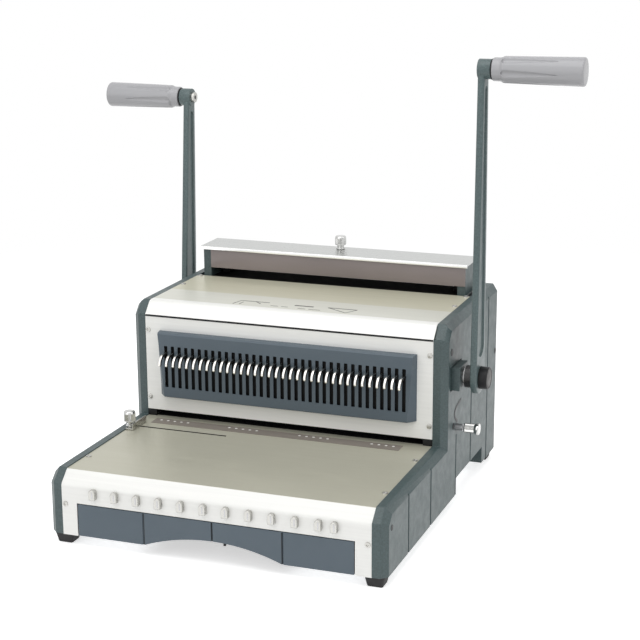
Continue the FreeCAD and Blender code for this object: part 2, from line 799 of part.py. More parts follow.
def crank_shaft(name, lever_side, throw, web_x, pin_outward):
    """Shaft along X through its own origin, with two cranks that point to -Y and carry a pin each.

    The collar on its outer end is what the lever's arm is clamped to.
    """
    on_axis = (as_size(0), as_size(0))
    collar_x = arm_x - collar_length
    pieces = [
        rod(f"{name}_bar", "x", shaft_radius, on_axis, mirrored_span(lever_side, -frame_out, collar_x)),
        rod(f"{name}_collar", "x", collar_radius, on_axis, mirrored_span(lever_side, collar_x, arm_x)),
    ]
    for side in (-1, 1):
        label = f"{name}_{'left' if side < 0 else 'right'}"
        web = mirrored_span(side, web_x, web_x + crank_wall)
        pieces.append(block(f"{label}_web", web, (-throw - crank_end, crank_hub), (-crank_half, crank_half)))
        reach = fork_wall + fork_gap
        pin = (web_x + crank_wall, web_x + crank_wall + reach) if pin_outward else (web_x - reach, web_x)
        pieces.append(rod(f"{label}_pin", "x", crank_pin_radius, (-throw, as_size(0)), mirrored_span(side, *pin)))
    return fuse(f"{name}_joined", *pieces)


def swing(item, y, z, angle):
    """Set a piece that is drawn about the X axis on its shaft, turned about it by an angle."""
    item.Placement = FreeCAD.Placement(FreeCAD.Vector(), FreeCAD.Rotation(FreeCAD.Vector(1, 0, 0), 1))
    bind(item, "Placement.Base.y", y)
    bind(item, "Placement.Base.z", z)
    bind(item, "Placement.Rotation.Angle", angle)


def make_shafts():
    web_x = punch_fork_x + fork_wall / 2 + fork_gap
    punch = crank_shaft("punch_shaft", 1, punch_throw, web_x, False)
    swing(punch, punch_shaft_y, punch_shaft_z, -crank_start)
    node("punch_shaft", punch)
    web_x = pusher_x - pusher_wall / 2 - fork_gap - crank_wall
    closer = crank_shaft("closer_shaft", -1, closer_throw, web_x, True)
    swing(closer, closer_shaft_y, closer_shaft_height, -crank_start)
    node("closer_shaft", closer)


def make_springs():
    """Plain round solids that stand for two tension springs, from the beam's ends to the frame plates' tabs."""
    span = (beam_top, spring_tab_z)
    springs = [rod(f"spring_{side + 1}", "z", spring_radius, (side * (beam_half - spring_inset), punch_y), span)
               for side in (-1, 1)]
    node("return_springs", group("spring_group", *springs))


# Tower front


def make_tower_front():
    plate = block("plate_sheet", (-inner, inner), (tower_y, tower_y + sheet_wall),
                  (tray_height + plate_rise, tower_height - plate_gap))
    across = slat_half_width - plate_margin
    opening = block("plate_opening", (-across, across), (tower_y - overshoot, tower_y + sheet_wall + overshoot),
                    (slat_foot + plate_margin, slat_top - plate_margin))
    node("front_plate", cut("plate_cut", plate, opening))


def end_facet(body, name, side):
    """Slanted facet at one end of the slotted panel: as wide as it gets at the foot, run out at the top.

    The cutter is a triangle carried from foot to top, sheared so that its long side lies in the facet's plane.
    """
    foot_y = tower_y - slat_proud_foot
    reach = slat_half_width + overshoot
    outline = [(slat_half_width - slat_facet - overshoot, foot_y - overshoot), (reach, foot_y - overshoot),
               (reach, tower_y + overshoot)]
    facet = pocket(body, name, "XY_Plane", [(side * x, y) for x, y in outline], (slat_foot, slat_top))
    facet.UseCustomVector = True
    facet.AlongSketchNormal = True
    bind(facet, "Direction.x", -side * slat_facet / slat_height)
    bind(facet, "Direction.y", (slat_proud_brow - slat_proud_foot) / slat_height)
    bind(facet, "Direction.z", -1)


def make_slotted_panel():
    body = new_body("slat_body")
    brow_z = slat_top - slat_brow_drop
    outline = [
        (tower_y, slat_foot), (tower_y, slat_top), (tower_y - slat_proud_brow + slat_bevel, slat_top),
        (tower_y - slat_proud_brow, brow_z), (tower_y - slat_proud_foot, slat_foot),
    ]
    pad(body, "slat", "YZ_Plane", outline, (-slat_half_width, slat_half_width))
    across = slat_half_width - slat_facet - slat_wall
    hollow = [
        (tower_y + overshoot, slat_foot + slat_wall), (tower_y + overshoot, brow_z),
        (tower_y - slat_proud_brow + slat_wall, brow_z), (tower_y - slat_proud_foot + slat_wall, slat_foot + slat_wall),
    ]
    pocket(body, "slat_hollow", "YZ_Plane", hollow, (-across, across))
    for side in (-1, 1):
        end_facet(body, f"slat_end_{side + 1}", side)
    first = -(hook_count - 1) * hole_pitch / 2
    half = slot_width / 2
    slot_top = slot_foot + slot_height
    flat = half - slot_corner
    slot = [
        (first - half, slot_foot + slot_corner), (first - flat, slot_foot), (first + flat, slot_foot),
        (first + half, slot_foot + slot_corner), (first + half, slot_top - slot_corner), (first + flat, slot_top),
        (first - flat, slot_top), (first - half, slot_top - slot_corner),
    ]
    opening = pocket(body, "slat_slot", "XZ_Plane", slot,
                     (tower_y - slat_proud_brow - overshoot, tower_y + overshoot))
    row_along_x(body, opening, hook_count, hole_pitch)
    node("slotted_panel", body)


def make_hook_comb():
    """Bar behind the slots with a row of hooks, each a flat shank folded down in equal steps."""
    body = new_body("comb_body")
    behind = tower_y + sheet_wall
    middle = hook_height - hook_thickness / 2
    across = slat_half_width - plate_margin + comb_wall
    pad(body, "comb_bar", "YZ_Plane",
        rectangle((behind, behind + comb_wall), (middle - comb_height / 2, middle + comb_height / 2)),
        (-across, across))
    bend_y = tower_y - hook_bend_set
    bend_z = hook_height - hook_radius
    small = hook_radius - hook_thickness
    steps = [hook_turn * fold / HOOK_FOLDS for fold in range(HOOK_FOLDS + 1)]
    over = [(bend_y - hook_radius * sine(angle), bend_z + hook_radius * cosine(angle)) for angle in steps]
    under = [(bend_y - small * sine(angle), bend_z + small * cosine(angle)) for angle in reversed(steps)]
    outline = [(behind, hook_height)] + over + under + [(behind, hook_height - hook_thickness)]
    first = -(hook_count - 1) * hole_pitch / 2
    hook = pad(body, "hook", "YZ_Plane", outline, (first - hook_wall / 2, first + hook_wall / 2))
    row_along_x(body, hook, hook_count, hole_pitch)
    node("hook_comb", body)


# Wire closer


def make_closer_case():
    lip_z = closer_top - closer_lip
    under = closer_top - closer_plate_wall
    outline = [
        (closer_y, lip_z), (closer_y, closer_top), (closer_back_y + sheet_wall, closer_top),
        (closer_back_y + sheet_wall, under), (closer_y + sheet_wall, under), (closer_y + sheet_wall, lip_z),
    ]
    plate = prism("closer_plate", "YZ_Plane", outline, (-closer_half_width, closer_half_width))
    hole = rod("closer_plate_hole", "z", knob_screw_radius + running_gap, (as_size(0), closer_y + knob_set),
               (lip_z, closer_top + overshoot))
    node("closer_top_plate", cut("closer_plate_bored", plate, hole))
    posts = [block(f"post_{side + 1}", mirrored_span(side, post_in, post_out),
                   (closer_y + post_inset, closer_back_y), (cover_under, under)) for side in (-1, 1)]
    node("closer_end_posts", group("post_group", *posts))
    window_y = closer_y + window_inset
    node("closer_window", block("window_pane", (-post_in, post_in), (window_y, window_y + window_wall),
                                (cover_height + window_rise, under)))
    node("closer_back_cover", block("closer_back", (-post_out, post_out), (closer_back_y, closer_back_y + sheet_wall),
                                    (cover_under, under)))


def make_closer_jaws():
    anvil = block("anvil_bar", (-frame_in, frame_in), (closer_y + slide_gap, closer_back_y),
                  (cover_under - anvil_wall, cover_under))
    pusher_back = closer_shaft_y - shaft_radius - 2 * fork_gap
    pusher_y = (pusher_back - pusher_length, pusher_back)
    pin_z = closer_shaft_height + closer_throw * sine(crank_start)
    pusher_foot = pin_z - crank_pin_radius - fork_gap - fork_prong
    notches = []
    pieces = [block("jaw_bar", (-post_in + slide_gap, post_in - slide_gap),
                    (closer_y + jaw_front, closer_back_y - jaw_back), (jaw_z, jaw_z + jaw_height))]
    for side in (-1, 1):
        across = mirrored_span(side, pusher_x - pusher_wall / 2, pusher_x + pusher_wall / 2)
        notches.append(block(f"anvil_notch_{len(notches)}", (across[0] - pusher_gap, across[1] + pusher_gap),
                             (pusher_y[0] - pusher_gap, pusher_y[1] + pusher_gap),
                             (cover_under - anvil_wall - overshoot, cover_under + overshoot)))
        bar = block(f"pusher_{len(pieces)}", across, pusher_y, (pusher_foot, jaw_z))
        slot = fork_slot(f"pusher_slot_{len(pieces)}", across, pusher_back, closer_shaft_y, closer_throw, pin_z)
        pieces.append(cut(f"pusher_cut_{len(pieces)}", bar, slot))
    node("closer_anvil", cut("anvil_cut", anvil, *notches))
    node("closer_bar", fuse("jaw_joined", *pieces))


def make_closer_knob():
    screw_end = -(closer_plate_wall + knob_screw_length)
    outline = [
        (0, screw_end), (knob_screw_radius, screw_end), (knob_screw_radius, slide_gap),
        (knob_neck_radius, slide_gap), (knob_neck_radius, knob_neck_height), (knob_radius, knob_neck_height),
        (knob_radius, knob_height), (0, knob_height),
    ]
    knob = turned("closer_knob_body", "z", outline)
    bind(knob, "Placement.Base.y", closer_y + knob_set)
    bind(knob, "Placement.Base.z", closer_top)
    node("closer_knob", knob)


# Levers


def make_lever(name, side, shaft_y, shaft_z, lean):
    def across(low, high):
        return mirrored_span(side, low, high)

    on_shaft = (as_size(0), as_size(0))
    at_tip = (as_size(0), arm_length)
    arm_out = arm_x + arm_wall
    body = new_body(f"{name}_arm_body")
    pad(body, f"{name}_arm", "YZ_Plane",
        [(-arm_foot_radius, 0), (arm_foot_radius, 0), (arm_tip_radius, arm_length), (-arm_tip_radius, arm_length)],
        across(arm_x, arm_out))
    low = arm_groove_start
    high = arm_length - arm_groove_end
    taper = (arm_foot_radius - arm_tip_radius) / arm_length
    wide = arm_foot_radius - taper * low - arm_groove_margin
    narrow = arm_foot_radius - taper * high - arm_groove_margin
    groove = [(-wide, low), (wide, low), (narrow, high), (-narrow, high)]
    for face, span in (("outer", across(arm_out - arm_groove_depth, arm_out + overshoot)),
                       ("inner", across(arm_x - overshoot, arm_x + arm_groove_depth))):
        pocket(body, f"{name}_arm_{face}", "YZ_Plane", groove, span)
    boss = across(arm_x - boss_inward, arm_out + boss_outward)
    whole = fuse(f"{name}_arm_joined", body, rod(f"{name}_arm_foot", "x", arm_foot_radius, on_shaft,
                                                 across(arm_x, arm_out)),
                 rod(f"{name}_arm_boss", "x", arm_tip_radius, at_tip, boss),
                 rod(f"{name}_arm_cap", "x", collar_radius, on_shaft, across(arm_out, arm_out + cap_length)))
    arm = cut(f"{name}_arm_bored", whole, rod(f"{name}_arm_eye", "x", axle_radius + running_gap, at_tip,
                                              (boss[0] - overshoot, boss[1] + overshoot)))
    swing(arm, shaft_y, shaft_z, lean)
    node(f"{name}_arm", arm)
    make_grip(name, side, shaft_y, shaft_z, lean)


def make_grip(name, side, shaft_y, shaft_z, lean):
    boss_end = arm_x + arm_wall + boss_outward
    start = boss_end + grip_gap
    tip_y = shaft_y - arm_length * sine(lean)
    tip_z = shaft_z + arm_length * cosine(lean)
    at_tip = (tip_y, tip_z)

    head_x = arm_x - boss_inward
    head = doc.addObject("Part::Prism", f"{name}_axle_head")
    head.Polygon = 6
    bind(head, "Circumradius", axle_head_radius)
    bind(head, "Height", axle_head_length)
    stand(head, "x" if side > 0 else "-x", at_tip, side * (head_x - axle_head_length))
    shank = rod(f"{name}_axle_shank", "x", axle_radius, at_tip, mirrored_span(side, head_x, start + axle_length))
    node(f"{name}_grip_axle", fuse(f"{name}_axle", head, shank))

    end = start + grip_length
    bore = axle_radius + running_gap
    bore_end = start + axle_length + slide_gap
    shoulder = start + grip_neck_length
    outline = [
        (side * start, bore), (side * start, grip_neck_radius), (side * shoulder, grip_neck_radius),
        (side * shoulder, grip_radius), (side * (end - grip_round), grip_radius),
        (side * end, grip_radius - grip_round), (side * end, 0), (side * bore_end, 0), (side * bore_end, bore),
    ]
    handle = turned(f"{name}_grip_body", "x", outline)
    flute_start = shoulder + flute_inset
    flute_end = flute_start + flute_length
    half = flute_width / 2
    tip = flute_tip / 2
    flute = pocket(handle, f"{name}_flute", "XY_Plane", [
        (side * flute_start, -half), (side * flute_end, -tip), (side * flute_end, tip), (side * flute_start, half),
    ], (grip_radius - flute_depth, grip_radius + overshoot))
    ring_about_x(handle, flute, flute_count)
    bind(handle, "Placement.Base.y", tip_y)
    bind(handle, "Placement.Base.z", tip_z)
    node(f"{name}_grip", handle)


# Punching depth


def make_margin_control():
    at = (margin_y, margin_z)
    shaft = rod("margin_bar", "x", margin_radius, at, (-frame_out, outer + margin_knob_out))
    pieces = [shaft]
    for side in (-1, 1):
        span = mirrored_span(side, eccentric_x - eccentric_wall / 2, eccentric_x + eccentric_wall / 2)
        pieces.append(rod(f"eccentric_{len(pieces)}", "x", eccentric_radius,
                          (margin_y, margin_z + margin_throw), span))
    node("margin_shaft", fuse("margin_shaft_joined", *pieces))
    knob_x = outer + margin_knob_out
    end = knob_x + margin_knob_length
    knob = turned("margin_knob_body", "x", [
        (knob_x, 0), (knob_x, margin_knob_radius), (end, margin_knob_radius), (end, 0)])
    bind(knob, "Placement.Base.y", margin_y)
    bind(knob, "Placement.Base.z", margin_z)
    node("margin_knob", knob)

    bar_z = tray_height + slide_gap
    stop_y = tower_y + stop_set
    reach = eccentric_radius + slide_gap
    bar = block("stop_bar", (-stop_half_width, stop_half_width), (stop_y, margin_y + reach + stop_prong),
                (bar_z, bar_z + stop_wall))
    node("margin_stop", bar)
    prongs = []
    for side in (-1, 1):
        span = mirrored_span(side, eccentric_x - eccentric_wall / 2, eccentric_x + eccentric_wall / 2)
        for place in (margin_y - reach - stop_prong, margin_y + reach):
            prongs.append(block(f"stop_prong_{len(prongs)}", span, (place, place + stop_prong),
                                (bar_z + stop_wall, bar_z + stop_prong_rise)))
    node("stop_prongs", group("prong_group", *prongs))


# Chip drawer


def make_drawer():
    foot = pan_top + slide_gap
    low = foot_rise + slide_gap
    face_y = (front, front + drawer_front_wall)
    radius = (arch_half_width * arch_half_width + arch_rise * arch_rise) / (2 * arch_rise)
    arch = rod("drawer_arch", "y", radius, (as_size(0), low + arch_rise - radius),
               (front - overshoot, face_y[1] + overshoot))
    half = front_groove_width / 2
    groove_y = (front - overshoot, front + front_groove_depth)
    groove_z = (foot_rise, drawer_top + overshoot)
    middle = block("drawer_middle", (-arch_half_width, arch_half_width), face_y, (low, drawer_top))
    groove = block("drawer_groove_middle", (-half, half), groove_y, groove_z)
    panels = [cut("drawer_middle_cut", middle, arch, groove)]
    for side in (-1, 1):
        end = block(f"drawer_end_{side + 1}", mirrored_span(side, arch_half_width, drawer_half_width), face_y,
                    (low, drawer_top))
        groove = block(f"drawer_groove_{side + 1}",
                       mirrored_span(side, arch_half_width - half, arch_half_width + 2 * half), groove_y, groove_z)
        panels.append(cut(f"drawer_end_cut_{side + 1}", end, groove))
    node("drawer_front", group("drawer_face", *panels))

    across = drawer_half_width - drawer_side_gap
    pan_front = front + drawer_recess
    pan_back = tower_y + drawer_reach
    top = drawer_top - drawer_rim_drop
    box = block("drawer_box", (-across, across), (pan_front, pan_back), (foot, top))
    hollow = block("drawer_hollow", (-across + drawer_wall, across - drawer_wall),
                   (pan_front + drawer_wall, pan_back - drawer_wall), (foot + drawer_wall, top + overshoot))
    pan = cut("drawer_pan", box, hollow)
    arms = [block(f"drawer_arm_{side + 1}", mirrored_span(side, across - drawer_wall, across),
                  (front + drawer_front_wall, pan_front), (foot, top)) for side in (-1, 1)]
    node("chip_drawer", fuse("drawer_joined", pan, *arms))


# Selector pulls


def make_selectors():
    rails = []
    depth = rail_height / 2
    for low, half_width in ((front + sheet_wall, inner - rail_inset), (die_y, frame_in)):
        number = len(rails)
        bar = block(f"rail_bar_{number}", (-half_width, half_width), (low, low + rail_wall),
                    (selector_z - depth, selector_z + depth))
        holes = [selector_bar(f"rail_hole_{number}_{pull}", pull, slide_gap, (low - overshoot, low + rail_wall + overshoot))
                 for pull in range(SELECTOR_COUNT)]
        rails.append(cut(f"rail_cut_{number}", bar, *holes))
    node("selector_rails", group("rail_group", *rails))
    for number in range(SELECTOR_COUNT):
        middle = selector_place(number)
        name = f"selector_{number + 1:02d}"
        half = selector_width / 2
        low = selector_z - selector_drop
        high = selector_z + selector_rise
        tab = prism(f"{name}_tab", "XZ_Plane", [
            (middle - half, low), (middle + half, low), (middle + half, high - selector_bevel),
            (middle + half - selector_bevel, high), (middle - half + selector_bevel, high),
            (middle - half, high - selector_bevel),
        ], (front - selector_proud, front - slide_gap))
        bar = selector_bar(f"{name}_bar", number, 0, (front - slide_gap, tower_y + selector_bar_end))
        node(name, fuse(f"{name}_joined", tab, bar))


# Paper guide


def make_paper_guide():
    floor = tray_height + slide_gap
    right = -inner + bracket_width + slide_gap
    left = right - bracket_width
    y = (tower_y - bracket_front, tower_y - bracket_front + bracket_length)
    foot = block("guide_foot", (left, right), y, (floor, floor + bracket_wall))
    fence = block("guide_fence", (right - bracket_wall, right), y, (floor + bracket_wall, floor + fence_height))
    half = guide_slot_width / 2 - tongue_gap
    slot_y = tower_y - guide_slot_set
    tongue = block("guide_tongue", (right - bracket_wall - tongue_length, right - bracket_wall),
                   (slot_y - half, slot_y + half), (tray_height - tongue_drop, floor))
    node("paper_guide", fuse("guide_joined", foot, fence, tongue))
    neck_top = thumb_neck_height
    outline = [
        (0, slide_gap), (thumb_neck_radius, slide_gap), (thumb_neck_radius, neck_top), (thumb_radius, neck_top),
        (thumb_radius, neck_top + thumb_height), (0, neck_top + thumb_height),
    ]
    screw = turned("thumb_body", "z", outline)
    bind(screw, "Placement.Base.x", left + thumb_neck_radius)
    bind(screw, "Placement.Base.y", y[0] + thumb_inset)
    bind(screw, "Placement.Base.z", floor + bracket_wall)
    node("guide_thumbscrew", screw)


make_base_pan()
make_feet()
make_side_panels()
make_fascia()
make_tray()
make_rear_cover()
make_top_cover()
make_frame()
make_die()
make_pins()
make_beam()
make_shafts()
make_springs()
make_tower_front()
make_slotted_panel()
make_hook_comb()
make_closer_case()
make_closer_jaws()
make_closer_knob()
make_lever("right", 1, punch_shaft_y, punch_shaft_z, as_size(0))
make_lever("left", -1, closer_shaft_y, closer_shaft_height, -closer_lean)
make_margin_control()
make_drawer()
make_selectors()
make_paper_guide()

doc.recompute()
failed = [item.Name for item in doc.Objects if "Invalid" in item.State or "Error" in item.State]
if failed:
    raise RuntimeError(f"objects that did not build: {failed}")
os.makedirs("parts", exist_ok=True)
for name, item in nodes.items():
    if item.Shape.isNull() or not item.Shape.isValid():
        raise RuntimeError(f"{name} has no valid shape")
    item.Shape.exportStep(f"parts/{name}.step")
print(len(nodes), "nodes")
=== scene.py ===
# %% [markdown]
# # A punch-and-bind machine, dressed in Blender
# The machine has been modelled as CAD solids already: bodies that swing, slide and turn. This notebook loads
# those solids as a fixed frame and gives every one of them a finish. Where a solid is too plain for a close look
# (grips, knobs, arms, hooks, bent sheets), a surface worked out with numpy takes its place.

# %% Load the CAD frame
import bmesh
import bpy
import math
import numpy as np
from mathutils import Matrix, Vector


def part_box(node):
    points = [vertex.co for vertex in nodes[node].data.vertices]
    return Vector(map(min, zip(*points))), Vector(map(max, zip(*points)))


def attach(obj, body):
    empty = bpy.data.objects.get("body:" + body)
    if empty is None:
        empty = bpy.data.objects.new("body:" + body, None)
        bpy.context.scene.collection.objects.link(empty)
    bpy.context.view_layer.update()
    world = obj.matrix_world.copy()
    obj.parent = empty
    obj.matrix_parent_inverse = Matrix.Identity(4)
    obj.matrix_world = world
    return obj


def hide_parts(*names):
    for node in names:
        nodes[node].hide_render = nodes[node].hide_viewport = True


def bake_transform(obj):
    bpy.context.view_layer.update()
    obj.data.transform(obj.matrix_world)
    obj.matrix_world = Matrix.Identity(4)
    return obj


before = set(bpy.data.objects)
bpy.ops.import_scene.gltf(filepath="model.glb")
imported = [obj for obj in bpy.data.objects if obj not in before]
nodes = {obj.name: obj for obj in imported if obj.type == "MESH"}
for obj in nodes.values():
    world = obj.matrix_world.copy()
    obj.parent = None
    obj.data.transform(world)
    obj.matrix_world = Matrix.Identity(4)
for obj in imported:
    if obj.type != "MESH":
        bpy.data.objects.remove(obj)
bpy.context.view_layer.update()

# %% [markdown]
# ## The camera
# The photograph was taken from the front, a little to the right and above, with a long lens: upright edges hardly
# converge. The camera is therefore placed by angles round a target point, with a focal length of about 91 mm,
# and rolled by a third of a degree as the photograph is.

# %% Camera
scene = bpy.context.scene


def set_up(name, data, axes, position):
    """New object whose own X, Y and Z point along three axes, at a position in metres."""
    holder = bpy.data.objects.new(name, data)
    scene.collection.objects.link(holder)
    place = np.eye(4)
    place[:3, :3], place[:3, 3] = np.stack(axes, axis=1), position
    holder.matrix_world = Matrix(place.tolist())
    return holder


azimuth, elevation, roll = np.radians([20.41, 14.59, -0.32])
target, distance = np.array([0.0425, -0.0117, 0.2157]), 1.8002
back = np.array([np.sin(azimuth) * np.cos(elevation), -np.cos(azimuth) * np.cos(elevation), np.sin(elevation)])
level = np.array([np.cos(azimuth), np.sin(azimuth), 0.0])
upright = np.cross(back, level)
right = np.cos(roll) * level + np.sin(roll) * upright
up = np.cos(roll) * upright - np.sin(roll) * level
camera = set_up("camera", bpy.data.cameras.new("camera"), (right, up, back), target + distance * back)
camera.data.lens, camera.data.sensor_width = 90.96, 36.0
camera.data.clip_start, camera.data.clip_end = 0.05, 50.0
scene.camera = camera
print("camera at", np.round(target + distance * back, 3).tolist())

# %% [markdown]
# ## Studio: floor, world and lamps
# A catalogue picture is taken on white paper. The floor here is a pale disc that fades out towards its rim, so no
# horizon shows, and the world is plain white to the camera and to mirrors. To them the paper also glows a little,
# which lifts it to white and leaves only a light shadow round the feet. Diffuse light from the world is weaker, and
# three large soft lamps give the direction: most of it comes from above, less from the front and the right.

# %% Floor, world, lamps
scene.view_settings.view_transform = "Standard"
PAPER, PAPER_RADIUS, PAPER_GLOW = (0.93, 0.93, 0.93), 3.2, 0.55
FADE_START, FADE_END = 0.55, 1.5
PURE_WHITE, WORLD_LIGHT = (1, 1, 1), 0.64


def feed(tree, node, inputs):
    """Give inputs of a node their values: a socket is linked, and a colour gets its fourth number."""
    for name, value in inputs.items():
        socket = node.inputs[name]
        if isinstance(value, bpy.types.NodeSocket):
            tree.links.new(value, socket)
        else:
            socket.default_value = (*value, 1) if socket.type == "RGBA" else value


def new_node(tree, kind, inputs, **settings):
    """New shader node of a kind, with its settings and with its inputs by name or number."""
    made = tree.nodes.new("ShaderNode" + kind)
    for name, value in settings.items():
        setattr(made, name, value)
    feed(tree, made, inputs)
    return made


def math_node(tree, operation, *values):
    """One Math node; each value may be a number or a socket."""
    return new_node(tree, "Math", dict(enumerate(values)), operation=operation).outputs[0]


def ranged(tree, value, start, end, low=0.0, high=1.0, kind="SMOOTHSTEP"):
    """Number that goes from low to high, softly or evenly, while a value goes from start to end."""
    limits = {"Value": value, "From Min": start, "From Max": end, "To Min": low, "To Max": high}
    return new_node(tree, "MapRange", limits, interpolation_type=kind).outputs["Result"]


def seen_directly(tree):
    """1 for rays that come from the camera, from a mirror or through glass, and 0 for diffuse light."""
    rays = new_node(tree, "LightPath", {}).outputs
    seen = math_node(tree, "MAXIMUM", rays["Is Camera Ray"], rays["Is Glossy Ray"])
    return math_node(tree, "MAXIMUM", seen, rays["Is Transmission Ray"])


def grid_faces(rows, columns, close_rows=False, close_columns=False):
    """Corner numbers of all cells of a grid counted row by row; a closed direction runs on from last to first."""
    down = np.arange(rows if close_rows else rows - 1)
    over = np.arange(columns if close_columns else columns - 1)
    down, over = [part.ravel() for part in np.meshgrid(down, over, indexing="ij")]
    below, beside = (down + 1) % rows, (over + 1) % columns
    return np.stack([down * columns + over, down * columns + beside, below * columns + beside,
                     below * columns + over], axis=1)


def make_floor(rings=8, around=96):
    """Disc on a polar grid: radius times cosine and sine; its see-through share grows with the radius."""
    turn = np.linspace(0, 2 * np.pi, around, endpoint=False)
    turn, reach = np.meshgrid(turn, np.linspace(0, PAPER_RADIUS, rings + 1)[1:])
    points = np.stack([reach * np.cos(turn), reach * np.sin(turn), 0 * turn], axis=-1).reshape(-1, 3)
    cells = grid_faces(rings, around, close_columns=True)[:, ::-1]
    mesh = bpy.data.meshes.new("floor")
    mesh.from_pydata(points.tolist(), [], [list(range(around))] + cells.tolist())
    floor = bpy.data.objects.new("floor", mesh)
    scene.collection.objects.link(floor)
    paper = bpy.data.materials.new("studio_paper")
    paper.use_nodes = True
    tree = paper.node_tree
    place = new_node(tree, "TexCoord", {}).outputs["Object"]
    away = new_node(tree, "VectorMath", {0: place}, operation="LENGTH").outputs["Value"]
    feed(tree, tree.nodes["Principled BSDF"], {
        "Base Color": PAPER, "Roughness": 0.9, "Specular IOR Level": 0.1, "Emission Color": PURE_WHITE,
        "Emission Strength": math_node(tree, "MULTIPLY", seen_directly(tree), PAPER_GLOW),
        "Alpha": ranged(tree, away, FADE_START, FADE_END, 1.0, 0.0)})
    mesh.materials.append(paper)


def lamp(name, size, power, position, aim=(0.0, 0.0, 0.2)):
    """Square soft lamp whose back axis points away from the place it is aimed at."""
    light = bpy.data.lights.new(name, "AREA")
    light.shape, light.size, light.energy = "SQUARE", size, power
    away = np.array(position) - np.array(aim)
    away = away / np.linalg.norm(away)
    side = np.cross([0.0, 0.0, 1.0], away)
    side = side / np.linalg.norm(side)
    set_up(name, light, (side, np.cross(away, side), away), position)


make_floor()
world = bpy.data.worlds.new("studio")
scene.world = world
world.use_nodes = True
sky = world.node_tree
strength = math_node(sky, "MULTIPLY_ADD", seen_directly(sky), 1.0 - WORLD_LIGHT, WORLD_LIGHT)
feed(sky, sky.nodes["Background"], {"Color": PURE_WHITE, "Strength": strength})
lamp("lamp_above", 1.8, 20, (-0.1, -0.6, 2.2))
lamp("lamp_right", 1.4, 8, (1.9, -0.5, 1.5))
lamp("lamp_front", 1.8, 8, (-0.9, -2.1, 1.1))
print("studio ready")

# %% [markdown]
# ## How a finish is put together
# Every finish is one Principled shader. What is the same all over (metal or not, gloss) sits on the shader's own
# sockets. What varies is driven by noise on Object coordinates: a faint mottle in the colour, a change of gloss,
# and a fine bump. Brushed sheet uses the same noise, stretched along one axis with a Mapping node.

# %% Finish helpers
FINISHES = {}
NOISE_LOW, NOISE_HIGH = 0.3, 0.7


def shader_of(material):
    """The one Principled shader of a finish."""
    return material.node_tree.nodes["Principled BSDF"]


def new_finish(name, color, roughness, **sockets):
    """Material with a Principled shader; extra keyword names are socket names with spaces as underscores."""
    made = bpy.data.materials.new("finish_" + name)
    made.use_nodes = True
    more = {socket.replace("_", " "): value for socket, value in sockets.items()}
    feed(made.node_tree, shader_of(made), {"Base Color": color, "Roughness": roughness, **more})
    FINISHES[name] = made
    return made


def object_place(tree):
    """Object coordinates, from one node for the whole material."""
    found = [node for node in tree.nodes if node.bl_idname == "ShaderNodeTexCoord"]
    return (found[0] if found else new_node(tree, "TexCoord", {})).outputs["Object"]


def noise(material, scale, detail, stretch=(1, 1, 1)):
    """Noise from 0 to 1 on Object coordinates, stretched by a Mapping node; scale is in cells a metre."""
    tree = material.node_tree
    place = new_node(tree, "Mapping", {"Vector": object_place(tree), "Scale": stretch}).outputs["Vector"]
    return new_node(tree, "TexNoise", {"Vector": place, "Scale": scale, "Detail": detail}).outputs["Fac"]


def spread(material, factor, base, amount):
    """Map the useful middle of a noise onto base - amount to base + amount."""
    return ranged(material.node_tree, factor, NOISE_LOW, NOISE_HIGH, base - amount, base + amount, "LINEAR")


def shade(material, factor, amount):
    """Scale the base colour, a constant or what is linked there, by 1 - amount to 1 + amount with a noise."""
    tree, socket = material.node_tree, shader_of(material).inputs["Base Color"]
    color = socket.links[0].from_socket if socket.links else socket.default_value[:3]
    scale = spread(material, factor, 1, amount)
    scaled = new_node(tree, "VectorMath", {0: color, "Scale": scale}, operation="SCALE")
    tree.links.new(scaled.outputs["Vector"], socket)


def vary_gloss(material, factor, amount):
    """Let the roughness go from its own value less an amount to its value plus it with a noise."""
    base = shader_of(material).inputs["Roughness"].default_value
    feed(material.node_tree, shader_of(material), {"Roughness": spread(material, factor, base, amount)})


def bump(material, factor, depth):
    """Bump whose depth is given in metres."""
    made = new_node(material.node_tree, "Bump", {"Strength": 1.0, "Distance": depth, "Height": factor})
    feed(material.node_tree, shader_of(material), {"Normal": made.outputs["Normal"]})


def dress(material, mottle, gloss, grain):
    """Rows of mottle, one of gloss and one of bump; a row is an amount, then a noise's scale, detail and stretch."""
    for amount, *cells in mottle:
        shade(material, noise(material, *cells), amount)
    for change, row in ((vary_gloss, gloss), (bump, grain)):
        if row:
            change(material, noise(material, *row[1:]), row[0])


def add_finish(name, color, roughness, mottle, gloss=None, grain=None, **sockets):
    """New finish with its rows of mottle, gloss and bump."""
    dress(new_finish(name, color, roughness, **sockets), mottle, gloss, grain)


def axis_value(tree, axis):
    """One Object coordinate, x, y or z, as a socket."""
    return new_node(tree, "SeparateXYZ", {0: object_place(tree)}).outputs["xyz".index(axis)]


def step(tree, value, edge, width):
    """0 before the edge and 1 after it, over a soft width."""
    return ranged(tree, value, edge - width / 2, edge + width / 2)


def two_colors(tree, factor, first, second):
    """Colour that goes from first to second with a factor; each may be a socket or a constant."""
    made = new_node(tree, "Mix", {"Factor": factor}, data_type="RGBA")
    ends = [number for number, socket in enumerate(made.inputs) if socket.type == "RGBA"]
    feed(tree, made, dict(zip(ends, (first, second))))
    return [socket for socket in made.outputs if socket.type == "RGBA"][0]


print("finish helpers ready")

# %% [markdown]
# ## Paints and plastics
# The side panels and the posts carry a hammered paint: a dark blue-green grey with small speckles and a slightly
# rippled gloss. Both arms have a lighter paint of the same kind. The sheets between them are white or champagne
# enamel with a faint brushed direction, and the cover goes from white over a pale band to beige. The slotted panel
# and the drawer front are slate plastic with a fine moulded grain.

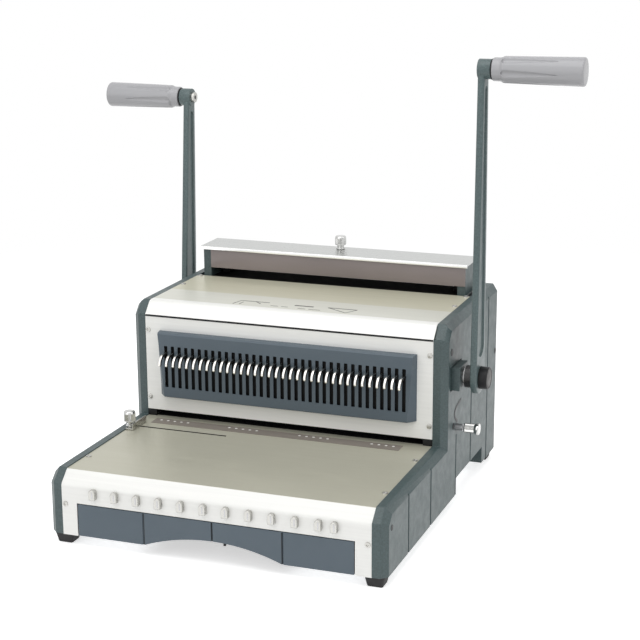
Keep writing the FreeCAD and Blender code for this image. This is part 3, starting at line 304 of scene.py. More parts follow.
# %% Paints and plastics
WHITE, PALE, BEIGE = (0.82, 0.82, 0.795), (0.63, 0.63, 0.565), (0.565, 0.548, 0.43)
PALE_START, BEIGE_START, SOFT_EDGE = 0.0115, 0.0603, 0.0012
BRUSHED, STREAKED = (0.12, 6, 6), (0.2, 5, 5)

add_finish("hammered_paint", (0.050, 0.076, 0.078), 0.42, [(0.20, 620, 2.0)], (0.06, 90, 3.0), (0.00012, 380, 1.0))
add_finish("arm_paint", (0.074, 0.108, 0.110), 0.34, [(0.22, 620, 2.0)], (0.06, 90, 3.0), (0.00010, 380, 1.0))
add_finish("white_enamel", WHITE, 0.36, [(0.022, 60, 4.0, BRUSHED)], (0.06, 40, 3.0, STREAKED), (0.00003, 420, 2.0))
add_finish("champagne_enamel", (0.47, 0.459, 0.373), 0.38, [(0.04, 1500, 2.0), (0.03, 7, 2.0)],
           (0.05, 55, 3.0, (0.3, 3, 3)), (0.00002, 900, 1.0), Metallic=0.25)
add_finish("slate_plastic", (0.074, 0.100, 0.123), 0.46, [(0.035, 14, 3.0)], (0.05, 70, 2.0), (0.00004, 1100, 2.0))
add_finish("ruler_ink", (0.215, 0.190, 0.165), 0.5, [(0.06, 120, 3.0, (0.3, 2, 2))], None, (0.00002, 800, 2.0))
add_finish("dot_paint", (0.85, 0.84, 0.81), 0.45, [(0.05, 900, 2.0)])
add_finish("grip_plastic", (0.360, 0.360, 0.374), 0.24, [(0.012, 30, 3.0)], (0.02, 60, 2.0), (0.000004, 1400, 2.0))
add_finish("black_plastic", (0.010, 0.010, 0.011), 0.40, [(0.12, 120, 3.0)], None, (0.00004, 900, 2.0),
           Specular_IOR_Level=0.25)
add_finish("worn_black", (0.040, 0.036, 0.033), 0.42, [(0.35, 260, 4.0)], (0.10, 180, 3.0), (0.00005, 500, 3.0),
           Specular_IOR_Level=0.35)
add_finish("line_ink", (0.085, 0.082, 0.075), 0.5, [(0.15, 700, 3.0)])
add_finish("foot_rubber", (0.012, 0.012, 0.013), 0.7, [(0.2, 200, 4.0)], None, (0.00008, 700, 3.0))

cover_enamel = new_finish("cover_enamel", WHITE, 0.36, Metallic=0.12)
tree = cover_enamel.node_tree
along = axis_value(tree, "y")
band = two_colors(tree, step(tree, along, PALE_START, SOFT_EDGE), WHITE, PALE)
band = two_colors(tree, step(tree, along, BEIGE_START, SOFT_EDGE), band, BEIGE)
feed(tree, shader_of(cover_enamel), {"Base Color": band})
dress(cover_enamel, [(0.022, 60, 4.0, BRUSHED)], (0.05, 40, 3.0, STREAKED), (0.00003, 500, 2.0))
print(len(FINISHES), "paints and plastics")

# %% [markdown]
# ## Metals and the smoked window
# Bright knobs and the closer's top plate are plated steel: fully metallic, with fine lines that change the gloss.
# Inner steel is duller. The window is smoked acrylic: it lets some light through, tinted brown-grey, and its
# surface carries a faint haze of wiping marks.

# %% Metals and window


def metal(name, color, roughness, lines, depth, stretch):
    """Plated or ground metal: colour and gloss follow one stretched noise, as fine lines do."""
    made = new_finish(name, color, roughness, Metallic=1.0)
    grain = noise(made, lines, 4.0, stretch)
    shade(made, grain, 0.06)
    vary_gloss(made, grain, roughness * 0.3)
    bump(made, grain, depth)


metal("plate_steel", (0.55, 0.56, 0.55), 0.30, 500, 0.00001, (0.05, 1, 1))
metal("chrome", (0.60, 0.60, 0.59), 0.12, 300, 0.000004, (1, 1, 0.3))
metal("nickel", (0.50, 0.495, 0.47), 0.30, 700, 0.00002, (1, 0.2, 1))
metal("hook_steel", (0.80, 0.78, 0.74), 0.20, 900, 0.00001, (1, 0.2, 0.2))
# Dark steel for the hooks' flat sides: painted shade, the dark reflection they catch between neighbouring hooks.
metal("hook_flank_shade", (0.085, 0.075, 0.066), 0.36, 700, 0.00002, (0.2, 1, 1))
metal("bright_lip", (0.92, 0.92, 0.91), 0.18, 500, 0.00001, (0.05, 1, 1))
metal("tool_steel", (0.46, 0.46, 0.47), 0.34, 600, 0.00002, (0.1, 1, 1))
metal("zinc_sheet", (0.56, 0.575, 0.59), 0.42, 90, 0.00003, (1, 1, 1))
add_finish("black_oxide", (0.008, 0.008, 0.0085), 0.65, [(0.20, 300, 4.0, (0.3, 1, 1))], None, (0.00002, 600, 2.0),
           Specular_IOR_Level=0.2)
add_finish("dark_plastic", (0.016, 0.016, 0.018), 0.6, [(0.15, 40, 3.0)], None, (0.00005, 800, 2.0))
add_finish("smoked_acrylic", (0.305, 0.262, 0.255), 0.16, [(0.10, 9, 4.0, (0.6, 1, 2))],
           (0.05, 14, 4.0, (0.5, 1, 2)), Transmission_Weight=0.28, IOR=1.49)
print(len(FINISHES), "finishes in all")

# %% [markdown]
# ## Two-colour pieces
# The lever shafts are bright steel, but the collar at the outer end is black plastic. A shaft is one CAD piece, so
# its finish changes colour by the place along the machine's width.

# %% Shaft with a black collar
SHAFT, COLLAR, COLLAR_START, COLLAR_EDGE = (0.52, 0.52, 0.52), (0.010, 0.010, 0.011), 0.2020, 0.0002
shaft_steel = new_finish("shaft_steel", SHAFT, 0.3)
tree = shaft_steel.node_tree
collar = step(tree, math_node(tree, "ABSOLUTE", axis_value(tree, "x")), COLLAR_START, COLLAR_EDGE)
feed(tree, shader_of(shaft_steel), {"Base Color": two_colors(tree, collar, SHAFT, COLLAR),
                                    "Metallic": math_node(tree, "SUBTRACT", 1.0, collar)})
dress(shaft_steel, [(0.08, 500, 3.0, (0.2, 1, 1))], (0.07, 300, 3.0), (0.00002, 700, 2.0))
print("shaft finish made")

# %% [markdown]
# ## Finishes on the CAD nodes
# Every node takes one of the finishes above, also one that only shows when a lever or the drawer moves.

# %% Paint the CAD nodes
WEAR = {
    "hammered_paint": "left_side_panel right_side_panel closer_end_posts",
    "arm_paint": "left_arm right_arm",
    "white_enamel": "front_fascia front_plate rear_cover closer_back_cover",
    "champagne_enamel": "tray",
    "cover_enamel": "top_cover",
    "slate_plastic": "slotted_panel drawer_front",
    "ruler_ink": "ruler_strip",
    "foot_rubber": "feet",
    "plate_steel": "closer_top_plate",
    "smoked_acrylic": "closer_window",
    "dark_plastic": "chip_drawer",
    "zinc_sheet": "base_pan left_frame_plate right_frame_plate selector_rails",
    "tool_steel": "punch_pins margin_shaft return_springs left_grip_axle right_grip_axle",
    "hook_steel": "hook_comb",
    "black_oxide": "punch_beam closer_bar closer_anvil die_plate guide_block margin_stop stop_prongs",
    "shaft_steel": "punch_shaft closer_shaft",
    "chrome": "closer_knob margin_knob guide_thumbscrew",
    "nickel": "paper_guide " + " ".join(f"selector_{number:02d}" for number in range(1, 13)),
    "grip_plastic": "left_grip right_grip",
}
for finish, names in WEAR.items():
    for name in names.split():
        nodes[name].data.materials.clear()
        nodes[name].data.materials.append(FINISHES[finish])
print("nodes without a finish:", sorted(set(nodes) - set(" ".join(WEAR.values()).split())))

# %% [markdown]
# ## Softer edges on the sheet and moulded solids
# No real edge is perfectly sharp: a moulding has a small radius and a sheet a broken edge, and both catch the
# light. The CAD meshes stay as they are; a Weld joins their loose triangles, Decimate merges flat ones again, and
# a Bevel rounds what is left. All three are live modifiers, so the stored mesh isn't touched. The left panel's
# merged face, with its pocket in it, tears under the Bevel, so that panel keeps its triangles.

# %% Round the edges
FLAT_ANGLE, FOLD_ANGLE = math.radians(0.5), math.radians(32)


def soften(name, width):
    """Weld, flatten and bevel the edges of a node by a width in metres."""
    node = nodes[name]
    weld = node.modifiers.new("join", "WELD")
    weld.merge_threshold = 1e-6
    if name != "left_side_panel":
        flat = node.modifiers.new("flatten", "DECIMATE")
        flat.decimate_type, flat.angle_limit = "DISSOLVE", FLAT_ANGLE
    edge = node.modifiers.new("round", "BEVEL")
    edge.width, edge.segments, edge.use_clamp_overlap = width, 2, True
    edge.limit_method, edge.angle_limit = "ANGLE", FOLD_ANGLE


for name, width in {"left_side_panel": 0.0011, "right_side_panel": 0.0011, "drawer_front": 0.0006,
                    "closer_top_plate": 0.0005, "closer_end_posts": 0.0006, "front_plate": 0.0004, "tray": 0.0004,
                    "rear_cover": 0.0004, "paper_guide": 0.0004}.items():
    soften(name, width)
print("edges rounded")

# %% [markdown]
# ## From arrays to pieces
# Every new piece below is worked out in millimetres as numpy arrays: points on a grid, and the corner numbers of
# its cells. One helper puts such arrays into a mesh, merges the points that meet at seams and poles, turns the
# faces outwards, keeps an edge sharp where it folds strongly or where an open sheet ends, and hands the piece to
# the body it moves with. The others make the shapes that come again and again: turned parts, tubes of any section,
# rounded blocks, and copies of a shape.

# %% Mesh helpers
MM = 0.001
SIDES = (-1, 1)


def make_piece(name, parts, body, finish, sharp=35, closed=True):
    """One mesh from parts: points, face arrays and, where it isn't the piece's own, a finish for all or for each."""
    starts = np.cumsum([0] + [len(part[0]) for part in parts[:-1]])
    wear, faces, looks = [], [], []
    for start, part in zip(starts, parts):
        own = part[2] if len(part) > 2 else finish
        for number, group in enumerate(part[1]):
            look = own[number] if isinstance(own, list) else own
            wear += [look] * (look not in wear)
            faces += (group + start).tolist()
            looks += [wear.index(look)] * len(group)
    mesh = bpy.data.meshes.new(name)
    mesh.from_pydata((np.concatenate([part[0] for part in parts]) * MM).tolist(), [], faces)
    mesh.polygons.foreach_set("material_index", looks)
    work = bmesh.new()
    work.from_mesh(mesh)
    bmesh.ops.remove_doubles(work, verts=work.verts, dist=2e-6)
    if closed:
        bmesh.ops.recalc_face_normals(work, faces=work.faces)
    work.to_mesh(mesh)
    work.free()
    mesh.polygons.foreach_set("use_smooth", np.ones(len(mesh.polygons), dtype=bool))
    mesh.set_sharp_from_angle(angle=math.radians(sharp))
    if not closed:
        uses = np.zeros(len(mesh.loops), dtype=np.int32)
        mesh.loops.foreach_get("edge_index", uses)
        marked = mesh.attributes.get("sharp_edge") or mesh.attributes.new("sharp_edge", "BOOLEAN", "EDGE")
        folds = np.zeros(len(mesh.edges), dtype=bool)
        marked.data.foreach_get("value", folds)
        marked.data.foreach_set("value", folds | (np.bincount(uses, minlength=len(folds)) == 1))
    for look in wear:
        mesh.materials.append(FINISHES[look])
    piece = bpy.data.objects.new(name, mesh)
    scene.collection.objects.link(piece)
    if body:
        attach(piece, body)
    return piece


def curve(start, bulge, end, steps):
    """Parabola from start to end that is drawn towards bulge: (1-t)^2 start + 2t(1-t) bulge + t^2 end."""
    t = np.linspace(0, 1, steps + 1)[None, :, None]
    return (1 - t) ** 2 * start[:, None] + 2 * t * (1 - t) * bulge[:, None] + t ** 2 * end[:, None]


def round_corners(corners, reach, steps=4):
    """Each corner gives way to a parabola between two points at a reach from it."""
    corners = np.array(corners, dtype=float)
    reach = np.broadcast_to(np.array(reach, dtype=float), len(corners))[:, None]
    before = np.roll(corners, 1, axis=0) - corners
    after = np.roll(corners, -1, axis=0) - corners
    start = corners + before / np.linalg.norm(before, axis=1, keepdims=True) * reach
    end = corners + after / np.linalg.norm(after, axis=1, keepdims=True) * reach
    return curve(start, corners, end, steps).reshape(-1, 2)


def on_axis(axis, along, first, second):
    """Points from places along one axis and places on the two others, in the order X, Y, Z."""
    order = {"x": (along, first, second), "y": (first, along, second), "z": (first, second, along)}
    return np.stack(order[axis], axis=-1)


def tube(rings):
    """Rings of points, each joined to the next all the way round, and a flat face on both ends."""
    rows, count = rings.shape[:2]
    ends = [np.arange(count)[None], np.arange((rows - 1) * count, rows * count)[None]]
    return rings.reshape(-1, 3), [grid_faces(rows, count, close_columns=True)] + ends


def lathe(profile, centre, axis, around, dent=None, ring=False):
    """Profile of (place along, radius) carried round an axis: radius times cosine and sine beside the axis.

    dent is a function of place along and angle, taken off the radius; a ring's profile closes on itself.
    """
    profile = np.array(profile, dtype=float)
    turn = np.linspace(0, 2 * np.pi, around, endpoint=False)[None, :]
    along = profile[:, :1] + 0 * turn
    radius = profile[:, 1:] + 0 * turn
    if dent is not None:
        radius = np.maximum(radius - dent(along, turn + 0 * along), 0)
    points = on_axis(axis, along, radius * np.cos(turn), radius * np.sin(turn)).reshape(-1, 3)
    return points + np.array(centre), [grid_faces(len(profile), around, close_rows=ring, close_columns=True)]


def soft_prism(outline, axis, low, high, edge):
    """Closed anticlockwise outline carried along an axis; towards both ends it draws in along a quarter circle."""
    outline = np.array(outline, dtype=float)
    ahead = np.roll(outline, -1, axis=0) - np.roll(outline, 1, axis=0)
    out = np.stack([ahead[:, 1], -ahead[:, 0]], axis=1)
    out = out / np.linalg.norm(out, axis=1, keepdims=True)
    bend = np.linspace(0, np.pi / 2, 4)
    inset = np.concatenate([edge * (1 - np.sin(bend)), edge * (1 - np.sin(bend[::-1]))])[:, None, None]
    place = np.concatenate([low + edge * (1 - np.cos(bend)), high - edge * (1 - np.cos(bend[::-1]))])[:, None]
    rings = outline[None] - inset * out[None]
    return tube(on_axis(axis, place + 0 * rings[..., 0], rings[..., 0], rings[..., 1]))


def soft_box(x, y, z, edge):
    """Block between low and high places with all edges rounded: a rounded rectangle carried along Z."""
    corners = [(x[0], y[0]), (x[1], y[0]), (x[1], y[1]), (x[0], y[1])]
    return soft_prism(round_corners(corners, edge * 1.4, 3), "z", z[0], z[1], edge)


def mirrored(part, side):
    """The same part on the left side where side is -1: every X changes its sign."""
    return (part[0] * np.array([side, 1, 1]), *part[1:])


def on_both_sides(part):
    """A part and its mirror image."""
    return [mirrored(part, side) for side in SIDES]


def side_lathe(side, profile, centre, around, *look, **more):
    """Lathe along X on one side of the machine, with a finish of its own where one is named."""
    return mirrored((*lathe(profile, centre, "x", around, **more), *look), side)


def copies(points, faces, places):
    """One shape at many places: each place is added to all its points, and the corner numbers count on."""
    number = np.arange(len(places))[:, None, None] * len(points)
    all_points = (np.array(places, dtype=float)[:, None] + points[None]).reshape(-1, 3)
    return all_points, [(group[None] + number).reshape(-1, group.shape[1]) for group in faces]


print("mesh helpers ready")

# %% [markdown]
# ## Fluted grips
# The grips are turned plastic handles that spin on a bolt. Each has a narrow neck next to the arm, a shoulder, and
# six flutes that begin round at the shoulder and run out to a point. A boolean could cut them, but a lathe whose
# radius also depends on the angle gives the same shape as one smooth surface: the flute's depth is a parabola
# across its width, and the width shrinks along the handle.

# %% Grips
GRIP_IN, GRIP_END, GRIP_RADIUS = 225.5, 323.5, 15.3
FLUTES, FLUTE_DEPTH, FLUTE_HALF, FLUTE_TURN = 6, 2.4, 0.30, math.radians(12)
FLUTE_START, FLUTE_END = GRIP_IN + 10.5, GRIP_IN + 72.0
LEVERS = {"right": (1, 24.8, 156.0, 0.0), "left": (-1, 189.8, 90.6, math.radians(3.5))}
ARM_LENGTH = 339.0


def at_tip(lever):
    """Centre of the arm's upper end: the hub, and the arm's length along its lean."""
    _, hub_y, hub_z, lean = LEVERS[lever]
    return np.array([0.0, hub_y + ARM_LENGTH * math.sin(lean), hub_z + ARM_LENGTH * math.cos(lean)])


def flutes(along, turn):
    """Parabolic hollows: their depth times one less the squared share of a half width that shrinks to nothing."""
    share = np.clip((along - FLUTE_START) / (FLUTE_END - FLUTE_START), 0, 1)
    nose = np.clip((along - FLUTE_START) / 4.0, 0, 1)
    width = FLUTE_HALF * (1 - share) ** 0.75 * np.sqrt(1 - (1 - nose) ** 2) + 1e-6
    away = (turn - FLUTE_TURN + np.pi / FLUTES) % (2 * np.pi / FLUTES) - np.pi / FLUTES
    return FLUTE_DEPTH * (1 - 0.6 * share) * np.clip(1 - (away / width) ** 2, 0, 1) * (share > 0) * (share < 1)


def grip_profile():
    """Neck, shoulder, slightly swelling body and rounded end, as rounded corners with finer steps on the body."""
    neck, rim = GRIP_IN + 1.2, GRIP_END - 2.4
    corners = [(GRIP_IN, 0), (GRIP_IN, 12.4), (GRIP_IN + 9.0, 12.6), (GRIP_IN + 11.5, 14.2),
               (GRIP_END, GRIP_RADIUS), (GRIP_END, 0)]
    rounded = round_corners(corners, [0, 1.2, 1.6, 1.6, 2.4, 0], 5)
    places = np.unique(np.concatenate([rounded[:, 0], np.linspace(GRIP_IN + 9, GRIP_END - 2.5, 58)]))
    places = places[(places > neck) & (places < rim)]
    body = rounded[(rounded[:, 0] > GRIP_IN + 0.2) & (rounded[:, 0] < GRIP_END - 0.2)]
    body = body[np.argsort(body[:, 0])]
    fine = np.stack([places, np.interp(places, body[:, 0], body[:, 1])], axis=1)
    return np.concatenate([rounded[rounded[:, 0] <= neck], fine, rounded[rounded[:, 0] >= rim]])


washer = round_corners([(224.0, 4.2), (225.4, 4.2), (225.4, 11.2), (224.0, 11.2)], 0.3, 2)
for lever, (side, *_) in LEVERS.items():
    handle = side_lathe(side, grip_profile(), at_tip(lever), 144, dent=flutes)
    grip = make_piece(f"{lever}_grip_handle", [handle], f"{lever}_grip", "grip_plastic", 42)
    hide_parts(f"{lever}_grip")
    ring = side_lathe(side, washer, at_tip(lever), 48, ring=True)
    make_piece(f"{lever}_grip_washer", [ring], f"{lever}_lever", "black_plastic")
print("grips with", len(grip.data.polygons), "faces each")

# %% [markdown]
# ## Lever arms
# An arm is a flat bar that tapers from a wide round foot to a narrow head, with a long groove down both faces. It
# is built from matching outlines: two half circles of different size make one outline, and the same formula with
# other numbers makes the groove. Joining outline to outline gives rounded edges, face, groove wall and floor. Turned
# parts go on it: the boss at the head and a black cap over the shaft's end. The grip's bolt goes through the boss;
# its head is sunk in the right arm and stands out of the left one. A black disc in its socket is painted shade.

# %% Arms
BAR_IN, BAR_OUT, BAR_EDGE, FOOT_HALF, HEAD_HALF = 210.6, 218.0, 1.3, 18.2, 9.0
GROOVE_LOW, GROOVE_HIGH, GROOVE_DEEP = 36.0, 317.0, 1.8
BOLT_HEAD, BOLT_SEAT, BOLT_END, SOCKET = {"right": 209.3, "left": 205.6}, 210.0, 315.5, 3.0


def bar_outline(low, high, wide, narrow):
    """Half circle of radius wide round the low end and of radius narrow round the high end, as one closed line."""
    turn = np.linspace(0, np.pi, 25)
    foot = np.stack([-wide * np.cos(turn), low - wide * np.sin(turn)], axis=1)
    head = np.stack([narrow * np.cos(turn), high + narrow * np.sin(turn)], axis=1)
    return np.concatenate([foot, head])


def arm_bar():
    """Outlines (across, along) at places on X: groove floor, groove rim, face, rounded edge, and back again."""
    bend = np.linspace(0, np.pi / 2, 5)
    drawn_in = BAR_EDGE * (1 - np.sin(bend))
    half = [(bar_outline(GROOVE_LOW, GROOVE_HIGH, 11.3, 3.8), GROOVE_DEEP),
            (bar_outline(GROOVE_LOW, GROOVE_HIGH, 12.0, 4.5), 0.0)]
    half += [(bar_outline(0, ARM_LENGTH, FOOT_HALF - less, HEAD_HALF - less), BAR_EDGE * (1 - c))
             for less, c in zip(drawn_in, np.cos(bend))]
    lines = np.array([line for line, _ in half + half[::-1]])
    places = np.array([BAR_IN + depth for _, depth in half] + [BAR_OUT - depth for _, depth in half[::-1]])
    return lines, places


def lean_back(across, along, lever):
    """Turn (across, along) of an arm into Y and Z: along its lean from the hub, and across at right angles to it."""
    _, hub_y, hub_z, lean = LEVERS[lever]
    return (hub_y + along * math.sin(lean) + across * math.cos(lean),
            hub_z + along * math.cos(lean) - across * math.sin(lean))


lines, places = arm_bar()
boss = round_corners([(209.6, 4.1), (209.6, 10.7), (224.0, 10.7), (224.0, 4.1)], [0.2, 0.8, 0.8, 0.2])
cap = round_corners([(217.6, 0), (217.6, 12.5), (228.0, 12.5), (228.0, 11.0), (227.5, 10.6), (227.5, 0)],
                    [0, 0.3, 1.2, 0.3, 0.3, 0])
badge = round_corners([(227.2, 0), (227.2, 10.4), (227.8, 10.4), (227.8, 0)], [0, 0.1, 0.3, 0])
for lever, (side, hub_y, hub_z, _) in LEVERS.items():
    hub, tip, inner = (0, hub_y, hub_z), at_tip(lever), BOLT_HEAD[lever]
    y, z = lean_back(lines[..., 0], lines[..., 1], lever)
    bar = tube(np.stack([side * places[:, None] + 0 * y, y, z], axis=-1))
    head = side_lathe(side, boss, tip, 56, ring=True)
    knuckle = side_lathe(side, cap, hub, 56, "black_plastic")
    disc = side_lathe(side, badge, hub, 48, "worn_black")
    bolt = round_corners([(inner + 0.8, 0), (inner, SOCKET), (inner, 6.4), (BOLT_SEAT, 6.4), (BOLT_SEAT, 4.0),
                          (BOLT_END, 4.0), (BOLT_END, 0)], [0, 0.2, 0.15, 0.1, 0.1, 0.3, 0], 3)
    pin = side_lathe(side, bolt, tip, 40, "nickel")
    # A black disc in the bolt's socket: painted shade in the hole.
    socket_shade = [(BOLT_SEAT, 0), (BOLT_SEAT, SOCKET), (inner + 0.15, SOCKET), (inner + 0.15, 0)]
    socket_shade = side_lathe(side, socket_shade, tip, 24, "black_plastic")
    arm = make_piece(f"{lever}_arm_bar", [bar, head, knuckle, disc], f"{lever}_lever", "arm_paint")
    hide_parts(f"{lever}_arm")
    grip_bolt = make_piece(f"{lever}_grip_bolt", [pin, socket_shade], f"{lever}_lever", "nickel")
    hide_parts(f"{lever}_grip_axle")
print("arms with", len(arm.data.polygons), "faces each")

# %% [markdown]
# ## The hook comb
# Thirty-five polished hooks stand out of the slots and hold the wire open. One hook is a rounded rectangle carried
# along a straight shank and a quarter circle, with its end drawn in to a round tip. All the copies come from one
# array: the hook's points plus the pitch of a third of an inch times the hook's number.

# %% Hooks
PITCH, HOOKS = 8.4667, 35
HOOK_PLACES = (np.arange(HOOKS) - (HOOKS - 1) / 2) * PITCH
HOOK_HALF, HOOK_THICK, HOOK_SHADE_X = 1.4, 1.8, 1.25
HOOK_Z, HOOK_Y, HOOK_BEND = 152.8, -29.0, 9.2


def one_hook():
    """Section of 2.8 by 3.6 carried along shank and bend; the last stations shrink along a quarter circle."""
    corners = [(-HOOK_HALF, -HOOK_THICK), (HOOK_HALF, -HOOK_THICK), (HOOK_HALF, HOOK_THICK), (-HOOK_HALF, HOOK_THICK)]
    section = round_corners(corners, 0.7, 3)
    bend = np.linspace(0, np.pi / 2, 11)
    tip = np.linspace(0.3, 1.0, 4) * np.pi / 2
    path_y = np.concatenate([[-9.0, -18.0], HOOK_Y - HOOK_BEND * np.sin(bend), np.full(4, HOOK_Y - HOOK_BEND)])
    path_z = np.concatenate([np.full(2, HOOK_Z + HOOK_BEND), HOOK_Z + HOOK_BEND * np.cos(bend),
                             HOOK_Z - 1.4 * np.sin(tip)])
    lift_y = np.concatenate([[0, 0], -np.sin(bend), np.full(4, -1.0)])
    lift_z = np.concatenate([[1, 1], np.cos(bend), np.zeros(4)])
    size = np.concatenate([np.ones(13), np.cos(tip * 0.86)])[:, None]
    off = size * section[None, :, 1]
    points, (cells, *ends) = tube(np.stack([size * section[None, :, 0], path_y[:, None] + lift_y[:, None] * off,
                                            path_z[:, None] + lift_z[:, None] * off], axis=-1))
    # The flat sides take the dark steel: painted shade, where neighbouring hooks darken what the sides reflect.
    shaded_flank = np.abs(np.mean(np.take(points[:, 0], cells), axis=1)) > HOOK_SHADE_X
    return points, [cells[~shaded_flank], *ends, cells[shaded_flank]]


row, faces = copies(*one_hook(), HOOK_PLACES[:, None] * np.array([1, 0, 0]))
looks = ["hook_steel"] * (len(faces) - 1) + ["hook_flank_shade"]
comb_bar = (*soft_box((-153, 153), (-10.0, -7.2), (148.2, 166.2), 0.4), "black_oxide")
hooks = make_piece("hook_row", [(row, faces, looks), comb_bar], "case", "hook_steel", 50)
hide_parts("hook_comb")
print(HOOKS, "hooks,", len(hooks.data.polygons), "faces")

# %% [markdown]
# ## Knurled knobs
# Three small plated knobs are turned by hand: one on the wire closer, one on the paper guide, one for the punching
# depth. A knurl is a fine ripple round the head, so the lathe's radius gets a ripple between two places along it.

# %% Knobs
RIDGES, RIDGE_DEPTH = 36, 0.45


def knurl(low, high):
    """Dent of depth times the squared sine of half count times the angle, only between two places along the axis."""
    def dent(along, turn):
        return RIDGE_DEPTH * np.sin(RIDGES * turn / 2) ** 2 * (along > low) * (along < high)
    return dent


def knob(name, corners, reach, centre, axis, band, body):
    """Lathe of rounded corners, knurled on a band; it takes the place of the node of its name."""
    part = lathe(round_corners(corners, reach), centre, axis, 144, knurl(*band))
    made = make_piece(f"{name}_turned", [part], body, "chrome", 40)
    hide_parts(name)
    print(name, "with", len(made.data.polygons), "faces")


knob("closer_knob", [(247.5, 0), (247.5, 3.0), (255.8, 3.0), (255.8, 5.4), (257.2, 5.4), (258.0, 4.2), (260.8, 4.2),
                     (261.2, 6.8), (262.2, 6.8), (262.4, 6.75), (269.0, 6.75), (269.2, 6.8), (272.0, 6.4),
                     (272.0, 0)],
     [0, 0.3, 0.2, 0.4, 0.4, 0.3, 0.3, 0.3, 0.05, 0.05, 0.05, 0.05, 1.6, 0], (0, 176.3, 0), "z", (262.3, 269.1),
     "closer_knob")
knob("guide_thumbscrew", [(84.6, 0), (84.6, 4.2), (87.0, 4.2), (88.0, 3.0), (90.8, 3.0), (91.2, 6.9), (92.4, 7.0),
                          (92.6, 6.95), (100.6, 6.95), (100.8, 7.0), (103.8, 6.3), (103.8, 0)],
     [0, 0.2, 0.4, 0.3, 0.2, 0.4, 0.05, 0.05, 0.05, 0.05, 1.8, 0], (-170.7, -66.2, 0), "z", (92.5, 100.7),
     "guide_thumbscrew")
knob("margin_knob", [(199.6, 0), (199.6, 5.2), (201.0, 5.5), (201.2, 5.45), (211.5, 5.45), (211.8, 5.5), (214.5, 6.4),
                     (217.0, 6.4), (217.0, 0)],
     [0, 0.4, 0.05, 0.05, 0.05, 0.05, 0.5, 0.8, 0], (0, 28.3, 94.5), "x", (201.1, 211.7), "margin")

# %% [markdown]
# ## Selector pulls
# Twelve flat pulls stick out of the front sheet; pulling one takes its punch pin out of work. Each is a plated tab
# with rounded edges on a flat bar. A grey line down its face is painted shade: the shaded side of a ridge on the tab.

# %% Pulls
PULL_PLACES = np.append((3 * np.arange(11) - 16) * PITCH, 16 * PITCH)


def pull(middle):
    """Tab outline with a bevelled head along Y, a strip of painted shade in its face, and the bar behind it."""
    outline = [(middle - 3.5, 56.5), (middle + 3.5, 56.5), (middle + 3.5, 66.0), (middle + 1.6, 68.0),
               (middle - 1.6, 68.0), (middle - 3.5, 66.0)]
    tab = soft_prism(round_corners(outline, 0.8, 3), "y", -227.9, -222.0, 0.7)
    # A grey strip down the tab's face: painted shade, the shaded side of a ridge on the tab.
    ridge_shade_outline = [(middle + 0.2, 58.6), (middle + 1.5, 58.6), (middle + 1.3, 66.2), (middle + 0.0, 66.2)]
    ridge_shade = (*soft_prism(round_corners(ridge_shade_outline, 0.3, 2), "y", -228.15, -227.0, 0.1), "tool_steel")
    return [tab, ridge_shade, soft_box((middle - 2, middle + 2), (-222.4, 6.3), (60.5, 65.5), 0.3)]


for number, middle in enumerate(PULL_PLACES, 1):
    made = make_piece(f"pull_{number:02d}", pull(middle), f"selector_{number:02d}", "nickel")
    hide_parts(f"selector_{number:02d}")
print(len(PULL_PLACES), "pulls with", len(made.data.polygons), "faces each")

# %% [markdown]
# ## Bent sheets
# The front sheet and the cover are pressed from sheet metal, so their folds are round. Both are one profile of
# rounded corners carried along X. Openings are cells that are left out of the grid: its columns and rows are laid
# exactly on the edges of the drawer opening and of the pulls' holes. Solidify then gives the sheet its wall.

# %% Front sheet and cover
SHEET, SHEET_HALF = 1.5, 174.0
OPENING_HALF, OPENING_TOP = 156.5, 49.0
HOLE_HALF, HOLE_LOW, HOLE_HIGH = 2.5, 60.0, 66.0
FOLD_STEPS = 8


def bent_sheet(corners, reach, x, extra=()):
    """Grid of X places by profile places; extra heights are added to the straight upright part of the profile."""
    rounded = round_corners(corners, reach, FOLD_STEPS)
    heights = np.array(extra, dtype=float)
    upright = np.stack([np.full(len(heights), corners[0][0]), heights], axis=1)
    profile = np.concatenate([rounded[FOLD_STEPS:FOLD_STEPS + 1], upright, rounded[FOLD_STEPS + 1:]])
    points = np.stack(np.broadcast_arrays(x[None, :], profile[:, :1], profile[:, 1:]), axis=-1)
    return points.reshape(-1, 3), grid_faces(len(profile), len(x))


def leave_out(points, cells, boxes):
    """Drop the cells whose middle lies in a box of X and Z, then the points that no cell uses any more."""
    middle = points[cells].mean(axis=1)
    for low_x, high_x, low_z, high_z in boxes:
        inside = (middle[:, 0] > low_x) & (middle[:, 0] < high_x) & (middle[:, 2] > low_z) & (middle[:, 2] < high_z)
        middle, cells = middle[~inside], cells[~inside]
    used, again = np.unique(cells, return_inverse=True)
    return points[used], again.reshape(-1, 4)


def sheet_piece(name, grid, finish, sharp=30, thickness=SHEET):
    """Open sheet from points and cells, which a Solidify modifier gives a wall on its inner side."""
    piece = make_piece(name, [(grid[0], [grid[1]])], "case", finish, sharp, closed=False)
    wall = piece.modifiers.new("wall", "SOLIDIFY")
    wall.thickness, wall.offset = thickness * MM, -1.0
    wall.use_even_offset = True
    print(name, "with", len(piece.data.polygons), "faces")
    return piece


holes = [(middle - HOLE_HALF, middle + HOLE_HALF, HOLE_LOW, HOLE_HIGH) for middle in PULL_PLACES]
edges = np.concatenate([[-SHEET_HALF, -OPENING_HALF, OPENING_HALF, SHEET_HALF], PULL_PLACES - HOLE_HALF,
                        PULL_PLACES + HOLE_HALF])
front_corners = [(-221.7, 12.0), (-221.7, 69.0), (-207.7, 82.0), (-206.2, 82.0)]
front_grid = bent_sheet(front_corners, [0, 2.8, 1.4, 0], np.unique(np.round(edges, 4)),
                        (OPENING_TOP, HOLE_LOW, HOLE_HIGH))
front_grid = leave_out(*front_grid, [(-OPENING_HALF, OPENING_HALF, 0, OPENING_TOP)] + holes)
front_sheet = sheet_piece("front_sheet", front_grid, "white_enamel")
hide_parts("front_fascia")

